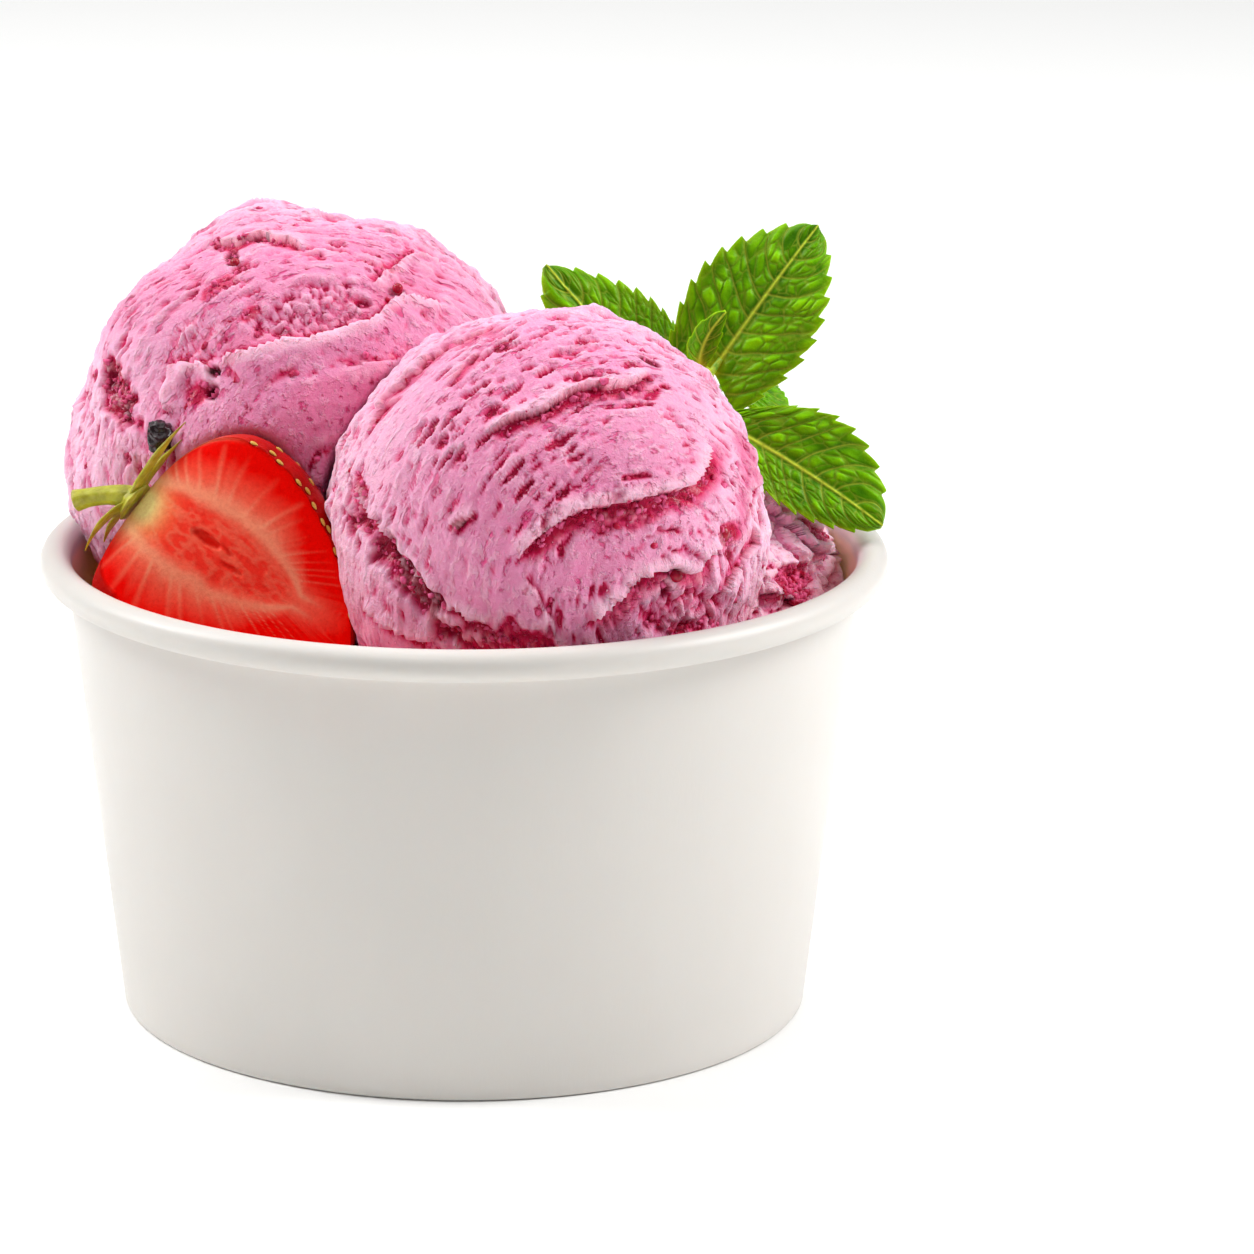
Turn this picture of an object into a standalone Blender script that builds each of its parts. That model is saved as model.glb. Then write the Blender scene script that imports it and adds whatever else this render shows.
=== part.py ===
"""A paper ice cream tub heaped with three berry scoops, half a strawberry and a sprig of mint.

The origin is the middle of the tub's foot, +Z is up, and the side that is looked at faces -Y.
Sizes are written in millimetres, and MM turns them into metres when a mesh is made.
"""
import math

import bmesh
import bpy
import numpy as np
from mathutils import Vector

MM = 0.001
GAP = 0.35
BED_GAP = 1.5

# Paper tub: a tapered wall rolled outwards at the rim and folded inwards at the foot
TUB_HEIGHT = 53.36
RIM_RADIUS = 48.0
FOOT_RADIUS = 39.03
BEAD_RADIUS = 1.77
PAPER = 0.6
HEM_HEIGHT = 6.0
HEM_THICKNESS = 1.6
BASE_THICKNESS = 0.7
ROUND_STEPS = 64
BEAD_STEPS = 3

# Ice cream: a bed that fills the tub, and three scoops pressed into it and into each other
BED_LEVEL = 44.5
BED_LUMPS = 1.4
BED_RINGS = 12
BED_STEPS = 48
FRONT_CENTRE = (9.2, -17.0, 59.2)
FRONT_RADII = (24.5, 24.6, 24.3)
BACK_CENTRE = (-17.7, 13.0, 60.7)
BACK_RADII = (27.9, 27.7, 27.8)
RIGHT_CENTRE = (25.5, 9.5, 46.6)
RIGHT_RADII = (18.0, 20.5, 14.6)
SCOOP_CUTS = 13
RIGHT_CUTS = 8
OVER_RIM_RADIUS = 47.5
MARCH_STEP = 0.1
ROUNDING_PASSES = 3

# Half strawberry: its cut face leans back and turns a little to the left
BERRY_CROWN = (-37.0, -15.5, 61.6)
BERRY_TIP = (-14.4, -27.7, 44.6)
BERRY_FACE = (-0.295, -0.919, 0.26)
BERRY_HALF_WIDTH = 15.2
BERRY_HALF_DEPTH = 9.2
BERRY_CUT = 0.3
BERRY_FULLEST = 0.36
BERRY_STATIONS = 15
BERRY_STEPS = 16
STALK_RADIUS = 1.15

# Dark currant in the flank of the back scoop
CURRANT_SPOT = (-16.1, 0.9)
CURRANT_RADIUS = 1.9

# Mint sprig: its leaves leave the stem within a few millimetres of each other
STEM_RADIUS = 1.05
STEM_FOOT = (26.4, 9.2, 62.2)
STEM_BEND = (27.0, 8.2, 67.0)
STEM_TOP = (27.5, 6.6, 71.4)
LEAF_THICKNESS = 0.45
TOOTH = 0.09

# The direction that the heap is looked at from, and the directions right and up seen from there
VIEW_TILT = math.radians(15.4)
TOWARDS = np.array([0.0, -math.cos(VIEW_TILT), math.sin(VIEW_TILT)])
UPWARDS = np.array([0.0, math.sin(VIEW_TILT), math.cos(VIEW_TILT)])
RIGHTWARDS = np.array([1.0, 0.0, 0.0])


def clear_scene():
    for old in list(bpy.data.objects):
        bpy.data.objects.remove(old)


def material(name, colour, roughness):
    made = bpy.data.materials.new(name)
    made.use_nodes = True
    shader = made.node_tree.nodes["Principled BSDF"]
    shader.inputs["Base Color"].default_value = (*colour, 1.0)
    shader.inputs["Roughness"].default_value = roughness
    shader.inputs["Metallic"].default_value = 0.0
    return made


def place(bm, name, finish, smooth_angle=40.0):
    """Puts a bmesh drawn in millimetres into the scene as one named object in metres."""
    bmesh.ops.scale(bm, vec=(MM, MM, MM), verts=bm.verts)
    bmesh.ops.recalc_face_normals(bm, faces=bm.faces)
    mesh = bpy.data.meshes.new(name)
    bm.to_mesh(mesh)
    bm.free()
    mesh.shade_smooth()
    mesh.set_sharp_from_angle(angle=math.radians(smooth_angle))
    mesh.materials.append(finish)
    made = bpy.data.objects.new(name, mesh)
    bpy.context.scene.collection.objects.link(made)
    return made


def grid_solid(rows):
    """A bmesh of closed rings of points, each ring joined to the next, with both ends capped."""
    bm = bmesh.new()
    rings = [[bm.verts.new(point) for point in row] for row in rows]
    count = len(rings[0])
    for lower, upper in zip(rings, rings[1:]):
        for i in range(count):
            j = (i + 1) % count
            bm.faces.new((lower[i], lower[j], upper[j], upper[i]))
    bm.faces.new(rings[0][::-1])
    bm.faces.new(rings[-1])
    return bm


# Tub
def inner_radius(z):
    """Radius of the wall's inner face at a height: it runs straight into the bead's inner side."""
    top_radius = RIM_RADIUS - 2 * BEAD_RADIUS
    bead_height = TUB_HEIGHT - BEAD_RADIUS
    taper = (top_radius + PAPER - FOOT_RADIUS) / bead_height
    return top_radius - taper * (bead_height - z)


def make_wall(finish):
    """The tub's wall, turned from one closed outline: outer side, rolled bead, inner side, hem."""
    bead = Vector((RIM_RADIUS - BEAD_RADIUS, TUB_HEIGHT - BEAD_RADIUS))
    join = -math.acos((inner_radius(bead.y) + PAPER - bead.x) / BEAD_RADIUS)
    quarters = (join, 0.0, math.pi / 2, math.pi)
    turns = [np.linspace(a, b, BEAD_STEPS, endpoint=False) for a, b in zip(quarters, quarters[1:])]
    outline = [(FOOT_RADIUS, 0.0)]
    for turn in (*np.concatenate(turns), math.pi):
        outline.append((bead.x + BEAD_RADIUS * math.cos(turn), bead.y + BEAD_RADIUS * math.sin(turn)))
    outline.append((inner_radius(HEM_HEIGHT), HEM_HEIGHT))
    outline.append((inner_radius(HEM_HEIGHT) + PAPER - HEM_THICKNESS, HEM_HEIGHT))
    outline.append((FOOT_RADIUS - HEM_THICKNESS, 0.0))
    bm = bmesh.new()
    points = [bm.verts.new((r, 0.0, z)) for r, z in outline]
    edges = [bm.edges.new((a, b)) for a, b in zip(points, points[1:] + points[:1])]
    bmesh.ops.spin(
        bm, geom=points + edges, axis=(0, 0, 1), cent=(0, 0, 0),
        angle=2 * math.pi, steps=ROUND_STEPS, use_merge=True,
    )
    return place(bm, "cup_wall", finish)


def make_base(finish):
    """The flat disc that closes the tub, resting just above the hem."""
    bm = bmesh.new()
    bmesh.ops.create_cone(
        bm, cap_ends=True, segments=ROUND_STEPS, depth=BASE_THICKNESS,
        radius1=inner_radius(HEM_HEIGHT) - GAP, radius2=inner_radius(HEM_HEIGHT) - GAP,
    )
    lift = HEM_HEIGHT + GAP + BASE_THICKNESS / 2
    bmesh.ops.translate(bm, vec=(0, 0, lift), verts=bm.verts)
    return place(bm, "cup_base", finish)


# Ice cream
def ripple(points, wavelength, seed, waves=9):
    """Low lumps: the mean of plane waves that run in random directions, from about -1 to 1."""
    rng = np.random.default_rng(seed)
    run = rng.normal(size=(waves, 3))
    run *= 2 * math.pi / wavelength / np.linalg.norm(run, axis=1)[:, None]
    phase = rng.uniform(0, 2 * math.pi, waves)
    return np.cos(points @ run.T + phase).sum(axis=1) / math.sqrt(waves)


def over_line(x, y, line):
    """Signed distance to a drawn line, positive on its left side, and the share along it."""
    line = np.array(line, float)
    starts, ends = line[:-1], line[1:]
    runs = ends - starts
    lengths = np.linalg.norm(runs, axis=1)
    offsets = np.stack([x, y], 1)[:, None] - starts
    share = np.clip((offsets * runs).sum(-1) / lengths**2, 0, 1)
    apart = offsets - share[..., None] * runs
    distance = np.linalg.norm(apart, axis=-1)
    nearest = distance.argmin(1)
    pick = np.arange(len(x))
    side = runs[nearest, 0] * offsets[pick, nearest, 1] - runs[nearest, 1] * offsets[pick, nearest, 0]
    before = np.concatenate([[0], np.cumsum(lengths)])[nearest]
    along = (before + share[pick, nearest] * lengths[nearest]) / lengths.sum()
    return np.sign(side) * distance[pick, nearest], along


def shelf(x, y, line, lip, groove, reach=6.0):
    """A folded layer: it swells to a lip on the line's left, drops into a groove on its right and fades out."""
    apart, along = over_line(x, y, line)
    fade = np.clip(np.minimum(along, 1 - along) * 5, 0, 1)
    above = lip * np.exp(-np.abs(apart) / reach)
    below = -groove * np.exp(-np.abs(apart) / (0.45 * reach))
    return fade * np.where(apart > 0, above, below)


# Lips of the folded layers, in millimetres right of and above each scoop's middle, as looked at
FRONT_SHELVES = (
    (((-6.2, 9.4), (1.0, 13.8), (5.4, 14.9), (11.5, 16.3)), 0.5, 0.7),
    (((-4.3, -4.6), (-2.3, -1.7), (3.2, 1.1), (9.8, 2.2), (15.4, 4.4), (17.0, 7.7)), 0.8, 1.1),
    (((4.3, -11.6), (9.8, -6.6), (16.5, -3.3)), 0.7, 0.9),
)
BACK_SHELVES = (
    (((15.7, 15.3), (10.4, 16.4), (7.0, 13.2), (-1.8, 11.4), (-9.5, 9.7)), 0.9, 1.5),
    (((-9.5, 8.2), (-14.8, 9.0), (-15.4, 3.0)), 0.8, 0.9),
)


def front_radius(away):
    return scoop_radius(away, FRONT_RADII, 0.35, 3, FRONT_SHELVES)


def back_radius(away):
    return scoop_radius(away, BACK_RADII, 0.55, 11, BACK_SHELVES)


def right_radius(away):
    return scoop_radius(away, RIGHT_RADII, 0.9, 23, (), wavelength=9.0)


def scoop_radius(away, radii, lumps, seed, shelves, wavelength=17.0):
    """Distance from a scoop's middle to its surface in each direction: a ball with lumps and layers."""
    round_radius = 1 / np.linalg.norm(away / np.array(radii), axis=1)
    spot = away * round_radius[:, None]
    x, y, depth = spot @ RIGHTWARDS, spot @ UPWARDS, spot @ TOWARDS
    relief = lumps * ripple(spot, wavelength, seed)
    shown = np.clip(depth / 5, 0, 1)
    for line, lip, groove in shelves:
        relief = relief + shown * shelf(x, y, line, lip, groove)
    return round_radius + relief


def in_scoop(points, centre, radius_of, grow=GAP):
    """True for the points inside a scoop that has grown by a gap."""
    apart = points - np.array(centre)
    distance = np.linalg.norm(apart, axis=1)
    return distance < radius_of(apart / distance[:, None]) + grow


def past_wall(points):
    """True for the points outside the tub's inner face, or outside the rim's edge above the bead."""
    r = np.hypot(points[:, 0], points[:, 1])
    over = np.clip((points[:, 2] - TUB_HEIGHT + 0.4) / 4.0, 0, 1)
    limit = inner_radius(np.minimum(points[:, 2], TUB_HEIGHT)) - GAP
    return r > limit + (OVER_RIM_RADIUS - limit) * over * over * (3 - 2 * over)


def free_length(starts, directions, lengths, blocked):
    """How far each ray runs, up to its length, before it enters something."""
    found = lengths.copy()
    for step in np.arange(0.0, lengths.max(), MARCH_STEP):
        going = step < found
        hit = np.zeros(len(starts), bool)
        hit[going] = blocked(starts[going] + step * directions[going])
        found[hit] = step
    return found


def rounded_off(bm, lengths):
    """Rounds the edges of dents: a point never stands further out than the mean of those next to it."""
    beside = [[edge.other_vert(v).index for edge in v.link_edges] or [v.index] for v in bm.verts]
    for _ in range(ROUNDING_PASSES):
        lengths = np.array([min(own, np.mean(lengths[near])) for own, near in zip(lengths, beside)])
    return lengths


def make_scoop(name, finish, centre, radius_of, cuts, blocked):
    """A ball of ice cream as a quad sphere, dented wherever something else is already there."""
    bm = bmesh.new()
    bmesh.ops.create_cube(bm, size=2.0)
    bmesh.ops.subdivide_edges(bm, edges=bm.edges, cuts=cuts, use_grid_fill=True)
    bm.verts.ensure_lookup_table()
    away = np.tan(np.array([v.co for v in bm.verts]) * math.pi / 4)
    away /= np.linalg.norm(away, axis=1)[:, None]
    middle = np.tile(np.array(centre), (len(away), 1))
    full = radius_of(away)
    lengths = free_length(middle, away, full, blocked)
    lengths = full - full.min() + rounded_off(bm, lengths - full + full.min())
    for vertex, point in zip(bm.verts, middle + away * lengths[:, None]):
        vertex.co = point
    return place(bm, name, finish)


def make_bed(finish, blocked):
    """The ice cream that fills the tub up to a rough top, hollowed under the scoops and the berry."""
    floor_height = HEM_HEIGHT + BASE_THICKNESS + 2 * GAP
    shares = np.linspace(0, 1, BED_RINGS + 1)[1:]
    turns = np.linspace(0, 2 * math.pi, BED_STEPS, endpoint=False)
    edge = inner_radius(BED_LEVEL) - GAP
    share, turn = np.meshgrid(shares, turns, indexing="ij")
    x = np.append((share * edge * np.cos(turn)).ravel(), 0.0)
    y = np.append((share * edge * np.sin(turn)).ravel(), 0.0)
    flat = np.stack([x, y, np.zeros_like(x)], 1)
    top = BED_LEVEL + BED_LUMPS * ripple(flat, 13.0, 5)
    low = np.stack([x, y, np.full_like(x, floor_height + 2)], 1)
    up = np.tile([0.0, 0.0, 1.0], (len(x), 1))
    z = low[:, 2] + free_length(low, up, top - low[:, 2], blocked)
    bm = bmesh.new()
    points = [bm.verts.new(p) for p in zip(x, y, z)]
    rings = [points[i * BED_STEPS:(i + 1) * BED_STEPS] for i in range(BED_RINGS)]
    foot_edge = inner_radius(floor_height) - GAP
    foot = [bm.verts.new((foot_edge * math.cos(t), foot_edge * math.sin(t), floor_height)) for t in turns]
    for i in range(BED_STEPS):
        j = (i + 1) % BED_STEPS
        bm.faces.new((points[-1], rings[0][i], rings[0][j]))
        for inner, outer in zip(rings, rings[1:]):
            bm.faces.new((inner[i], outer[i], outer[j], inner[j]))
    bm.verts.index_update()
    for vertex, height in zip(points, rounded_off(bm, np.append(z, np.zeros(BED_STEPS)))):
        shrink = min(1.0, (inner_radius(height) - GAP) / max(math.hypot(vertex.co.x, vertex.co.y), 1.0))
        vertex.co = (vertex.co.x * shrink, vertex.co.y * shrink, height)
    for i in range(BED_STEPS):
        j = (i + 1) % BED_STEPS
        bm.faces.new((rings[-1][i], foot[i], foot[j], rings[-1][j]))
    bm.faces.new(foot[::-1])
    return place(bm, "ice_cream_bed", finish)


def add_currant(scoop, finish):
    """A whole dark currant half sunk in the back scoop and fused with it."""
    right, up = CURRANT_SPOT
    middle = BACK_RADII[0]
    depth = math.sqrt(middle**2 - right**2 - up**2)
    away = (RIGHTWARDS * right + UPWARDS * up + TOWARDS * depth) / middle
    centre = np.array(BACK_CENTRE) + away * back_radius(away[None])[0]
    bm = bmesh.new()
    bmesh.ops.create_icosphere(bm, subdivisions=2, radius=CURRANT_RADIUS)
    bmesh.ops.translate(bm, vec=centre, verts=bm.verts)
    currant = place(bm, "currant", finish)
    currant.hide_render = True
    currant.display_type = "WIRE"
    fuse = scoop.modifiers.new("currant", "BOOLEAN")
    fuse.operation = "UNION"
    fuse.object = currant


# Half strawberry
class BerryFrame:
    """The berry's own directions: along its axis, across the cut face, and out of the face."""

    crown = np.array(BERRY_CROWN)
    out = np.array(BERRY_FACE) / np.linalg.norm(BERRY_FACE)
    along = np.array(BERRY_TIP) - crown
    along = along - out * (along @ out)
    length = float(np.linalg.norm(along))
    along = along / length
    across = np.cross(along, out)


def berry_width(share):
    """Half width along the axis: broad shoulders at the crown, fullest at a third, a blunt tip."""
    share = np.clip(share, 0, 1)
    to_crown = np.clip(1 - share / BERRY_FULLEST, 0, 1)
    to_tip = np.clip((share - BERRY_FULLEST) / (1 - BERRY_FULLEST), 0, 1)
    return BERRY_HALF_WIDTH * (1 - to_crown**3.2) ** 0.5 * (1 - to_tip**1.62) ** 0.62


def in_berry(points, grow):
    """True for the points inside the half berry that has grown by a gap."""
    apart = points - BerryFrame.crown
    along = apart @ BerryFrame.along
    across = apart @ BerryFrame.across
    sunk = -(apart @ BerryFrame.out) - BERRY_CUT * BERRY_HALF_DEPTH
    width = berry_width(along / BerryFrame.length)
    depth = width * BERRY_HALF_DEPTH / BERRY_HALF_WIDTH
    inside = (along > -grow) & (along < BerryFrame.length + grow)
    inside &= -(apart @ BerryFrame.out) > -grow
    return inside & ((across / (width + grow)) ** 2 + (sunk / (depth + grow)) ** 2 < 1)


def make_berry(finish):
    """Rings round the axis: each is an ellipse cut off flat at the face, from crown to tip."""
    shares = 0.5 - 0.5 * np.cos(np.linspace(0.1, math.pi - 0.1, BERRY_STATIONS))
    cut_turn = math.acos(BERRY_CUT)
    rows = []
    for share in shares:
        width = berry_width(np.array([share]))[0]
        depth = width * BERRY_HALF_DEPTH / BERRY_HALF_WIDTH
        middle = BerryFrame.crown + BerryFrame.along * share * BerryFrame.length
        turns = np.linspace(cut_turn, 2 * math.pi - cut_turn, BERRY_STEPS)
        row = []
        for turn in turns:
            side = BerryFrame.across * width * math.sin(turn)
            sink = BerryFrame.out * (depth * math.cos(turn) - BERRY_CUT * BERRY_HALF_DEPTH)
            point = middle + side + sink
            radius = math.hypot(point[0], point[1])
            limit = inner_radius(min(point[2], TUB_HEIGHT)) - GAP
            if point[2] < TUB_HEIGHT + 0.3 and radius > limit:
                point[:2] *= limit / radius
            row.append(point)
        rows.append(row)
    return place(grid_solid(rows), "strawberry_half", finish, smooth_angle=50.0)


def tapered_tube(path, radii, sides, flatten=1.0, face=(0, 0, 1)):
    """Rings carried along a path of points, each ring flattened along one direction."""
    path = np.array(path, float)
    runs = np.gradient(path, axis=0)
    rows = []
    for point, run, radius in zip(path, runs, radii):
        run = run / np.linalg.norm(run)
        wide = np.cross(run, face)
        wide /= np.linalg.norm(wide)
        thin = np.cross(wide, run)
        turns = np.linspace(0, 2 * math.pi, sides, endpoint=False)
        rows.append([point + radius * (wide * math.cos(t) + flatten * thin * math.sin(t)) for t in turns])
    return rows


def bend(start, middle, end, count):
    """Points of a parabola that starts and ends at two points and leans to a third."""
    share = np.linspace(0, 1, count)[:, None]
    start, middle, end = (np.array(p, float) for p in (start, middle, end))
    return (1 - share) ** 2 * start + 2 * share * (1 - share) * middle + share**2 * end


# Start, bend and end of the stalk, the hub and each sepal, as places along, across and out of the cut face,
# counted from the crown, and then each sepal's half width
STALK = ((-0.6, -0.2, -2.4), (-2.8, 0.2, -1.8), (-5.7, 4.2, -1.4))
HUB = ((-0.4, 0.0, -2.4), (-0.9, 0.0, -2.4), (-1.5, 0.1, -2.4))
SEPALS = (
    ((-0.8, -1.0, -1.8), (-1.6, -5.6, -0.7), (-0.8, -11.0, -0.4), 1.5),
    ((-0.8, 1.0, -1.8), (-2.2, 3.6, -0.8), (-0.9, 7.5, -0.6), 1.4),
    ((-0.8, -0.8, -2.8), (-1.7, -4.8, -4.2), (-1.3, -8.4, -5.4), 1.4),
    ((-0.8, 0.8, -2.8), (-1.9, 3.6, -4.2), (-1.3, 6.4, -5.6), 1.4),
    ((-0.8, 0.0, -3.0), (-1.7, -0.4, -4.6), (-2.2, -1.0, -6.4), 1.2),
)


def in_berry_frame(along, across, out):
    return BerryFrame.crown + BerryFrame.along * along + BerryFrame.across * across + BerryFrame.out * out


def make_calyx(finish):
    """The stalk with its cut end and five narrow sepals that curl off the crown, made one piece."""
    stalk = [in_berry_frame(*p) for p in bend(*STALK, 8)]
    tubes = [tapered_tube(stalk, np.linspace(1.25, 1.0, 8) * STALK_RADIUS, 10)]
    for start, middle, end, width in SEPALS:
        path = [in_berry_frame(*p) for p in bend(start, middle, end, 8)]
        swell = np.sin(np.linspace(0.45, 0.93, 8) * math.pi) * width + 0.12
        tubes.append(tapered_tube(path, swell, 8, flatten=0.3, face=BerryFrame.along))
    hub = [in_berry_frame(*p) for p in bend(*HUB, 3)]
    tubes.append(tapered_tube(hub, (2.4, 2.2, 1.4), 12))
    pieces = [place(grid_solid(rows), "calyx_piece", finish) for rows in tubes]
    whole = pieces.pop()
    whole.name = "strawberry_calyx"
    for piece in pieces:
        join = whole.modifiers.new("join", "BOOLEAN")
        join.operation = "UNION"
        join.object = piece
        piece.hide_render = True
        piece.display_type = "WIRE"
    return whole


# Mint
def leaf_rows(base, middle, tip, face, half_widths, fullest, lobed, fold, droop, teeth):
    """Two sheets of points, upper and lower: a toothed oval that folds at its midrib and sags.

    Its half widths follow a sine arch that is skewed to be widest at its fullest share, its teeth
    are a saw that leans to the tip, and its lobes sweep back beside the stalk.
    """
    shares = np.array([(k + f) / teeth for k in range(teeth) for f in (0.0, 0.55, 0.93)] + [1.0])
    spine = (1 - shares[:, None]) ** 2 * np.array(base) + shares[:, None] ** 2 * np.array(tip)
    spine = spine + (2 * shares * (1 - shares))[:, None] * np.array(middle)
    run = np.gradient(spine, axis=0)
    run /= np.linalg.norm(run, axis=1)[:, None]
    wide = np.cross(run, np.array(face, float))
    wide /= np.linalg.norm(wide, axis=1)[:, None]
    upright = np.cross(wide, run)
    skewed = (lobed + (1 - lobed) * shares) ** (math.log(0.5) / math.log(lobed + (1 - lobed) * fullest))
    arch = np.clip(np.sin(math.pi * skewed), 0, 1) ** 0.75
    saw = (shares * teeth) % 1.0
    saw[-1] = 0.0
    rim = arch * (1 + TOOTH * (saw - 0.3)) + 0.02
    top, bottom = [], []
    for side in (-1.0, -0.62, -0.3, 0.0, 0.3, 0.62, 1.0):
        half = half_widths[0] if side < 0 else half_widths[1]
        edge = np.where(abs(side) > 0.9, rim, arch + 0.02)
        lobe = -2.4 * lobed * half * abs(side) * (1 - shares) ** 6
        sheet = spine + wide * (side * half * edge)[:, None] + run * lobe[:, None]
        lift = fold * abs(side) ** 1.2 * half * edge - droop * side * side * half * shares
        lift = lift + 0.05 * half * np.sin(9 * shares + 2.5 * side) * abs(side)
        sheet = sheet + upright * lift[:, None]
        top.append(sheet)
        bottom.append(sheet - upright * LEAF_THICKNESS)
    return np.array(top), np.array(bottom)


def make_leaf(name, finish, **shape):
    """Both faces of a leaf split into the same triangles, with a narrow wall all round."""
    top, bottom = leaf_rows(**shape)
    columns, rows = top.shape[:2]
    bm = bmesh.new()
    upper = [[bm.verts.new(p) for p in column] for column in top]
    lower = [[bm.verts.new(p) for p in column] for column in bottom]
    for c in range(columns - 1):
        for r in range(rows - 1):
            for sheet, turned in ((upper, False), (lower, True)):
                corners = (sheet[c][r], sheet[c + 1][r], sheet[c + 1][r + 1], sheet[c][r + 1])
                for pick in ((0, 1, 2), (0, 2, 3)):
                    face = [corners[i] for i in pick]
                    bm.faces.new(face[::-1] if turned else face)
    edge = [(c, 0) for c in range(columns)] + [(columns - 1, r) for r in range(1, rows)]
    edge += [(c, rows - 1) for c in range(columns - 2, -1, -1)] + [(0, r) for r in range(rows - 2, 0, -1)]
    for (c, r), (d, s) in zip(edge, edge[1:] + edge[:1]):
        bm.faces.new((upper[c][r], lower[c][r], lower[d][s], upper[d][s]))
    return place(bm, name, finish, smooth_angle=60.0)


LEAVES = {
    "mint_leaf_tall": dict(
        base=(28.3, 8.7, 71.1), middle=(34.5, 9.3, 80.4), tip=(40.3, 12.8, 87.1), face=(-0.15, -0.92, 0.35),
        half_widths=(7.3, 7.4), fullest=0.34, lobed=0.15, fold=0.12, droop=0.1, teeth=9,
    ),
    "mint_leaf_left": dict(
        base=(24.9, 9.9, 69.2), middle=(17.4, 11.6, 72.6), tip=(9.4, 14.5, 82.2), face=(0.1, -0.75, 0.65),
        half_widths=(6.2, 6.2), fullest=0.42, lobed=0.08, fold=0.1, droop=0.1, teeth=10,
    ),
    "mint_leaf_right": dict(
        base=(29.4, 4.8, 65.8), middle=(38.2, 1.4, 62.0), tip=(47.3, -1.2, 55.4), face=(0.1, -0.9, 0.42),
        half_widths=(6.7, 4.7), fullest=0.52, lobed=0.05, fold=0.14, droop=0.12, teeth=10,
    ),
    "mint_leaf_low": dict(
        base=(30.2, 11.6, 69.0), middle=(33.6, 14.2, 68.8), tip=(36.4, 20.0, 66.6), face=(0.45, -0.35, 0.8),
        half_widths=(5.2, 5.4), fullest=0.4, lobed=0.08, fold=0.12, droop=0.1, teeth=7,
    ),
    "mint_leaf_young": dict(
        base=(26.6, 4.7, 72.0), middle=(26.4, 4.4, 75.6), tip=(29.6, 4.6, 78.8), face=(0.2, -0.95, 0.1),
        half_widths=(2.0, 1.4), fullest=0.45, lobed=0.05, fold=0.5, droop=0.0, teeth=4,
    ),
}


def make_stem(finish):
    """The sprig's stem, from the top of the right scoop to where its leaves part."""
    path = bend(STEM_FOOT, STEM_BEND, STEM_TOP, 7)
    rows = tapered_tube(path, np.linspace(1.1, 0.85, 7) * STEM_RADIUS, 10, face=(0, 1, 0))
    return place(grid_solid(rows), "mint_stem", finish)


def build():
    clear_scene()
    paper = material("white_paper", (0.9, 0.89, 0.87), 0.5)
    cream = material("berry_ice_cream", (0.78, 0.3, 0.46), 0.45)
    flesh = material("strawberry", (0.8, 0.03, 0.01), 0.3)
    sepal_green = material("calyx_green", (0.42, 0.4, 0.05), 0.5)
    leaf_green = material("mint_green", (0.12, 0.36, 0.02), 0.4)

    def in_front(points, grow=GAP):
        return in_scoop(points, FRONT_CENTRE, front_radius, grow)

    def in_back(points, grow=GAP):
        return in_scoop(points, BACK_CENTRE, back_radius, grow)

    def in_right(points, grow=GAP):
        return in_scoop(points, RIGHT_CENTRE, right_radius, grow)

    def in_half_berry(points, grow=GAP + 0.1):
        return in_berry(points, grow)

    def over_bed(points):
        others = (in_half_berry, in_front, in_back, in_right)
        return np.any([near(points, BED_GAP) for near in others], axis=0)

    make_wall(paper)
    make_base(paper)
    make_berry(flesh)
    make_calyx(sepal_green)
    make_scoop("scoop_front", cream, FRONT_CENTRE, front_radius, SCOOP_CUTS,
               lambda p: past_wall(p) | in_half_berry(p))
    back = make_scoop("scoop_back", cream, BACK_CENTRE, back_radius, SCOOP_CUTS,
                      lambda p: past_wall(p) | in_half_berry(p) | in_front(p))
    add_currant(back, cream)
    make_scoop("scoop_right", cream, RIGHT_CENTRE, right_radius, RIGHT_CUTS,
               lambda p: past_wall(p) | in_front(p) | in_back(p))
    make_bed(cream, over_bed)
    make_stem(leaf_green)
    for name, shape in LEAVES.items():
        make_leaf(name, leaf_green, **shape)


build()
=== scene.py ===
"""A paper tub of berry ice cream with half a strawberry and a sprig of mint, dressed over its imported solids.

Sizes are in millimetres until a mesh is made, +Z is up and the side that is looked at faces -Y.
"""
import math

import bpy
import numpy as np
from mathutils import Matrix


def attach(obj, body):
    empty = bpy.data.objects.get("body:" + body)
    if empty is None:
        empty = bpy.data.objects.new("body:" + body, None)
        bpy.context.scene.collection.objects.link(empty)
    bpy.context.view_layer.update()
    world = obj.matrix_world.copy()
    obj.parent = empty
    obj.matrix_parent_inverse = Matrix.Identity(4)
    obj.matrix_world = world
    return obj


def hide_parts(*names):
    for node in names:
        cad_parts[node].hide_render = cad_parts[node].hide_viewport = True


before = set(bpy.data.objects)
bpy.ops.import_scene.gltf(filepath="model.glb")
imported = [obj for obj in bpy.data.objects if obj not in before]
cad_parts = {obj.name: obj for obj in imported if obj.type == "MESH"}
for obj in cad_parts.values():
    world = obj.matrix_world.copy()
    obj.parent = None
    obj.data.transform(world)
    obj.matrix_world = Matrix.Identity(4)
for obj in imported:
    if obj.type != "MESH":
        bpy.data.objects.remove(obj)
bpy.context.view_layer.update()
for startup in ("Cube", "Light", "Camera"):
    if startup in bpy.data.objects:
        bpy.data.objects.remove(bpy.data.objects[startup])


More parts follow.
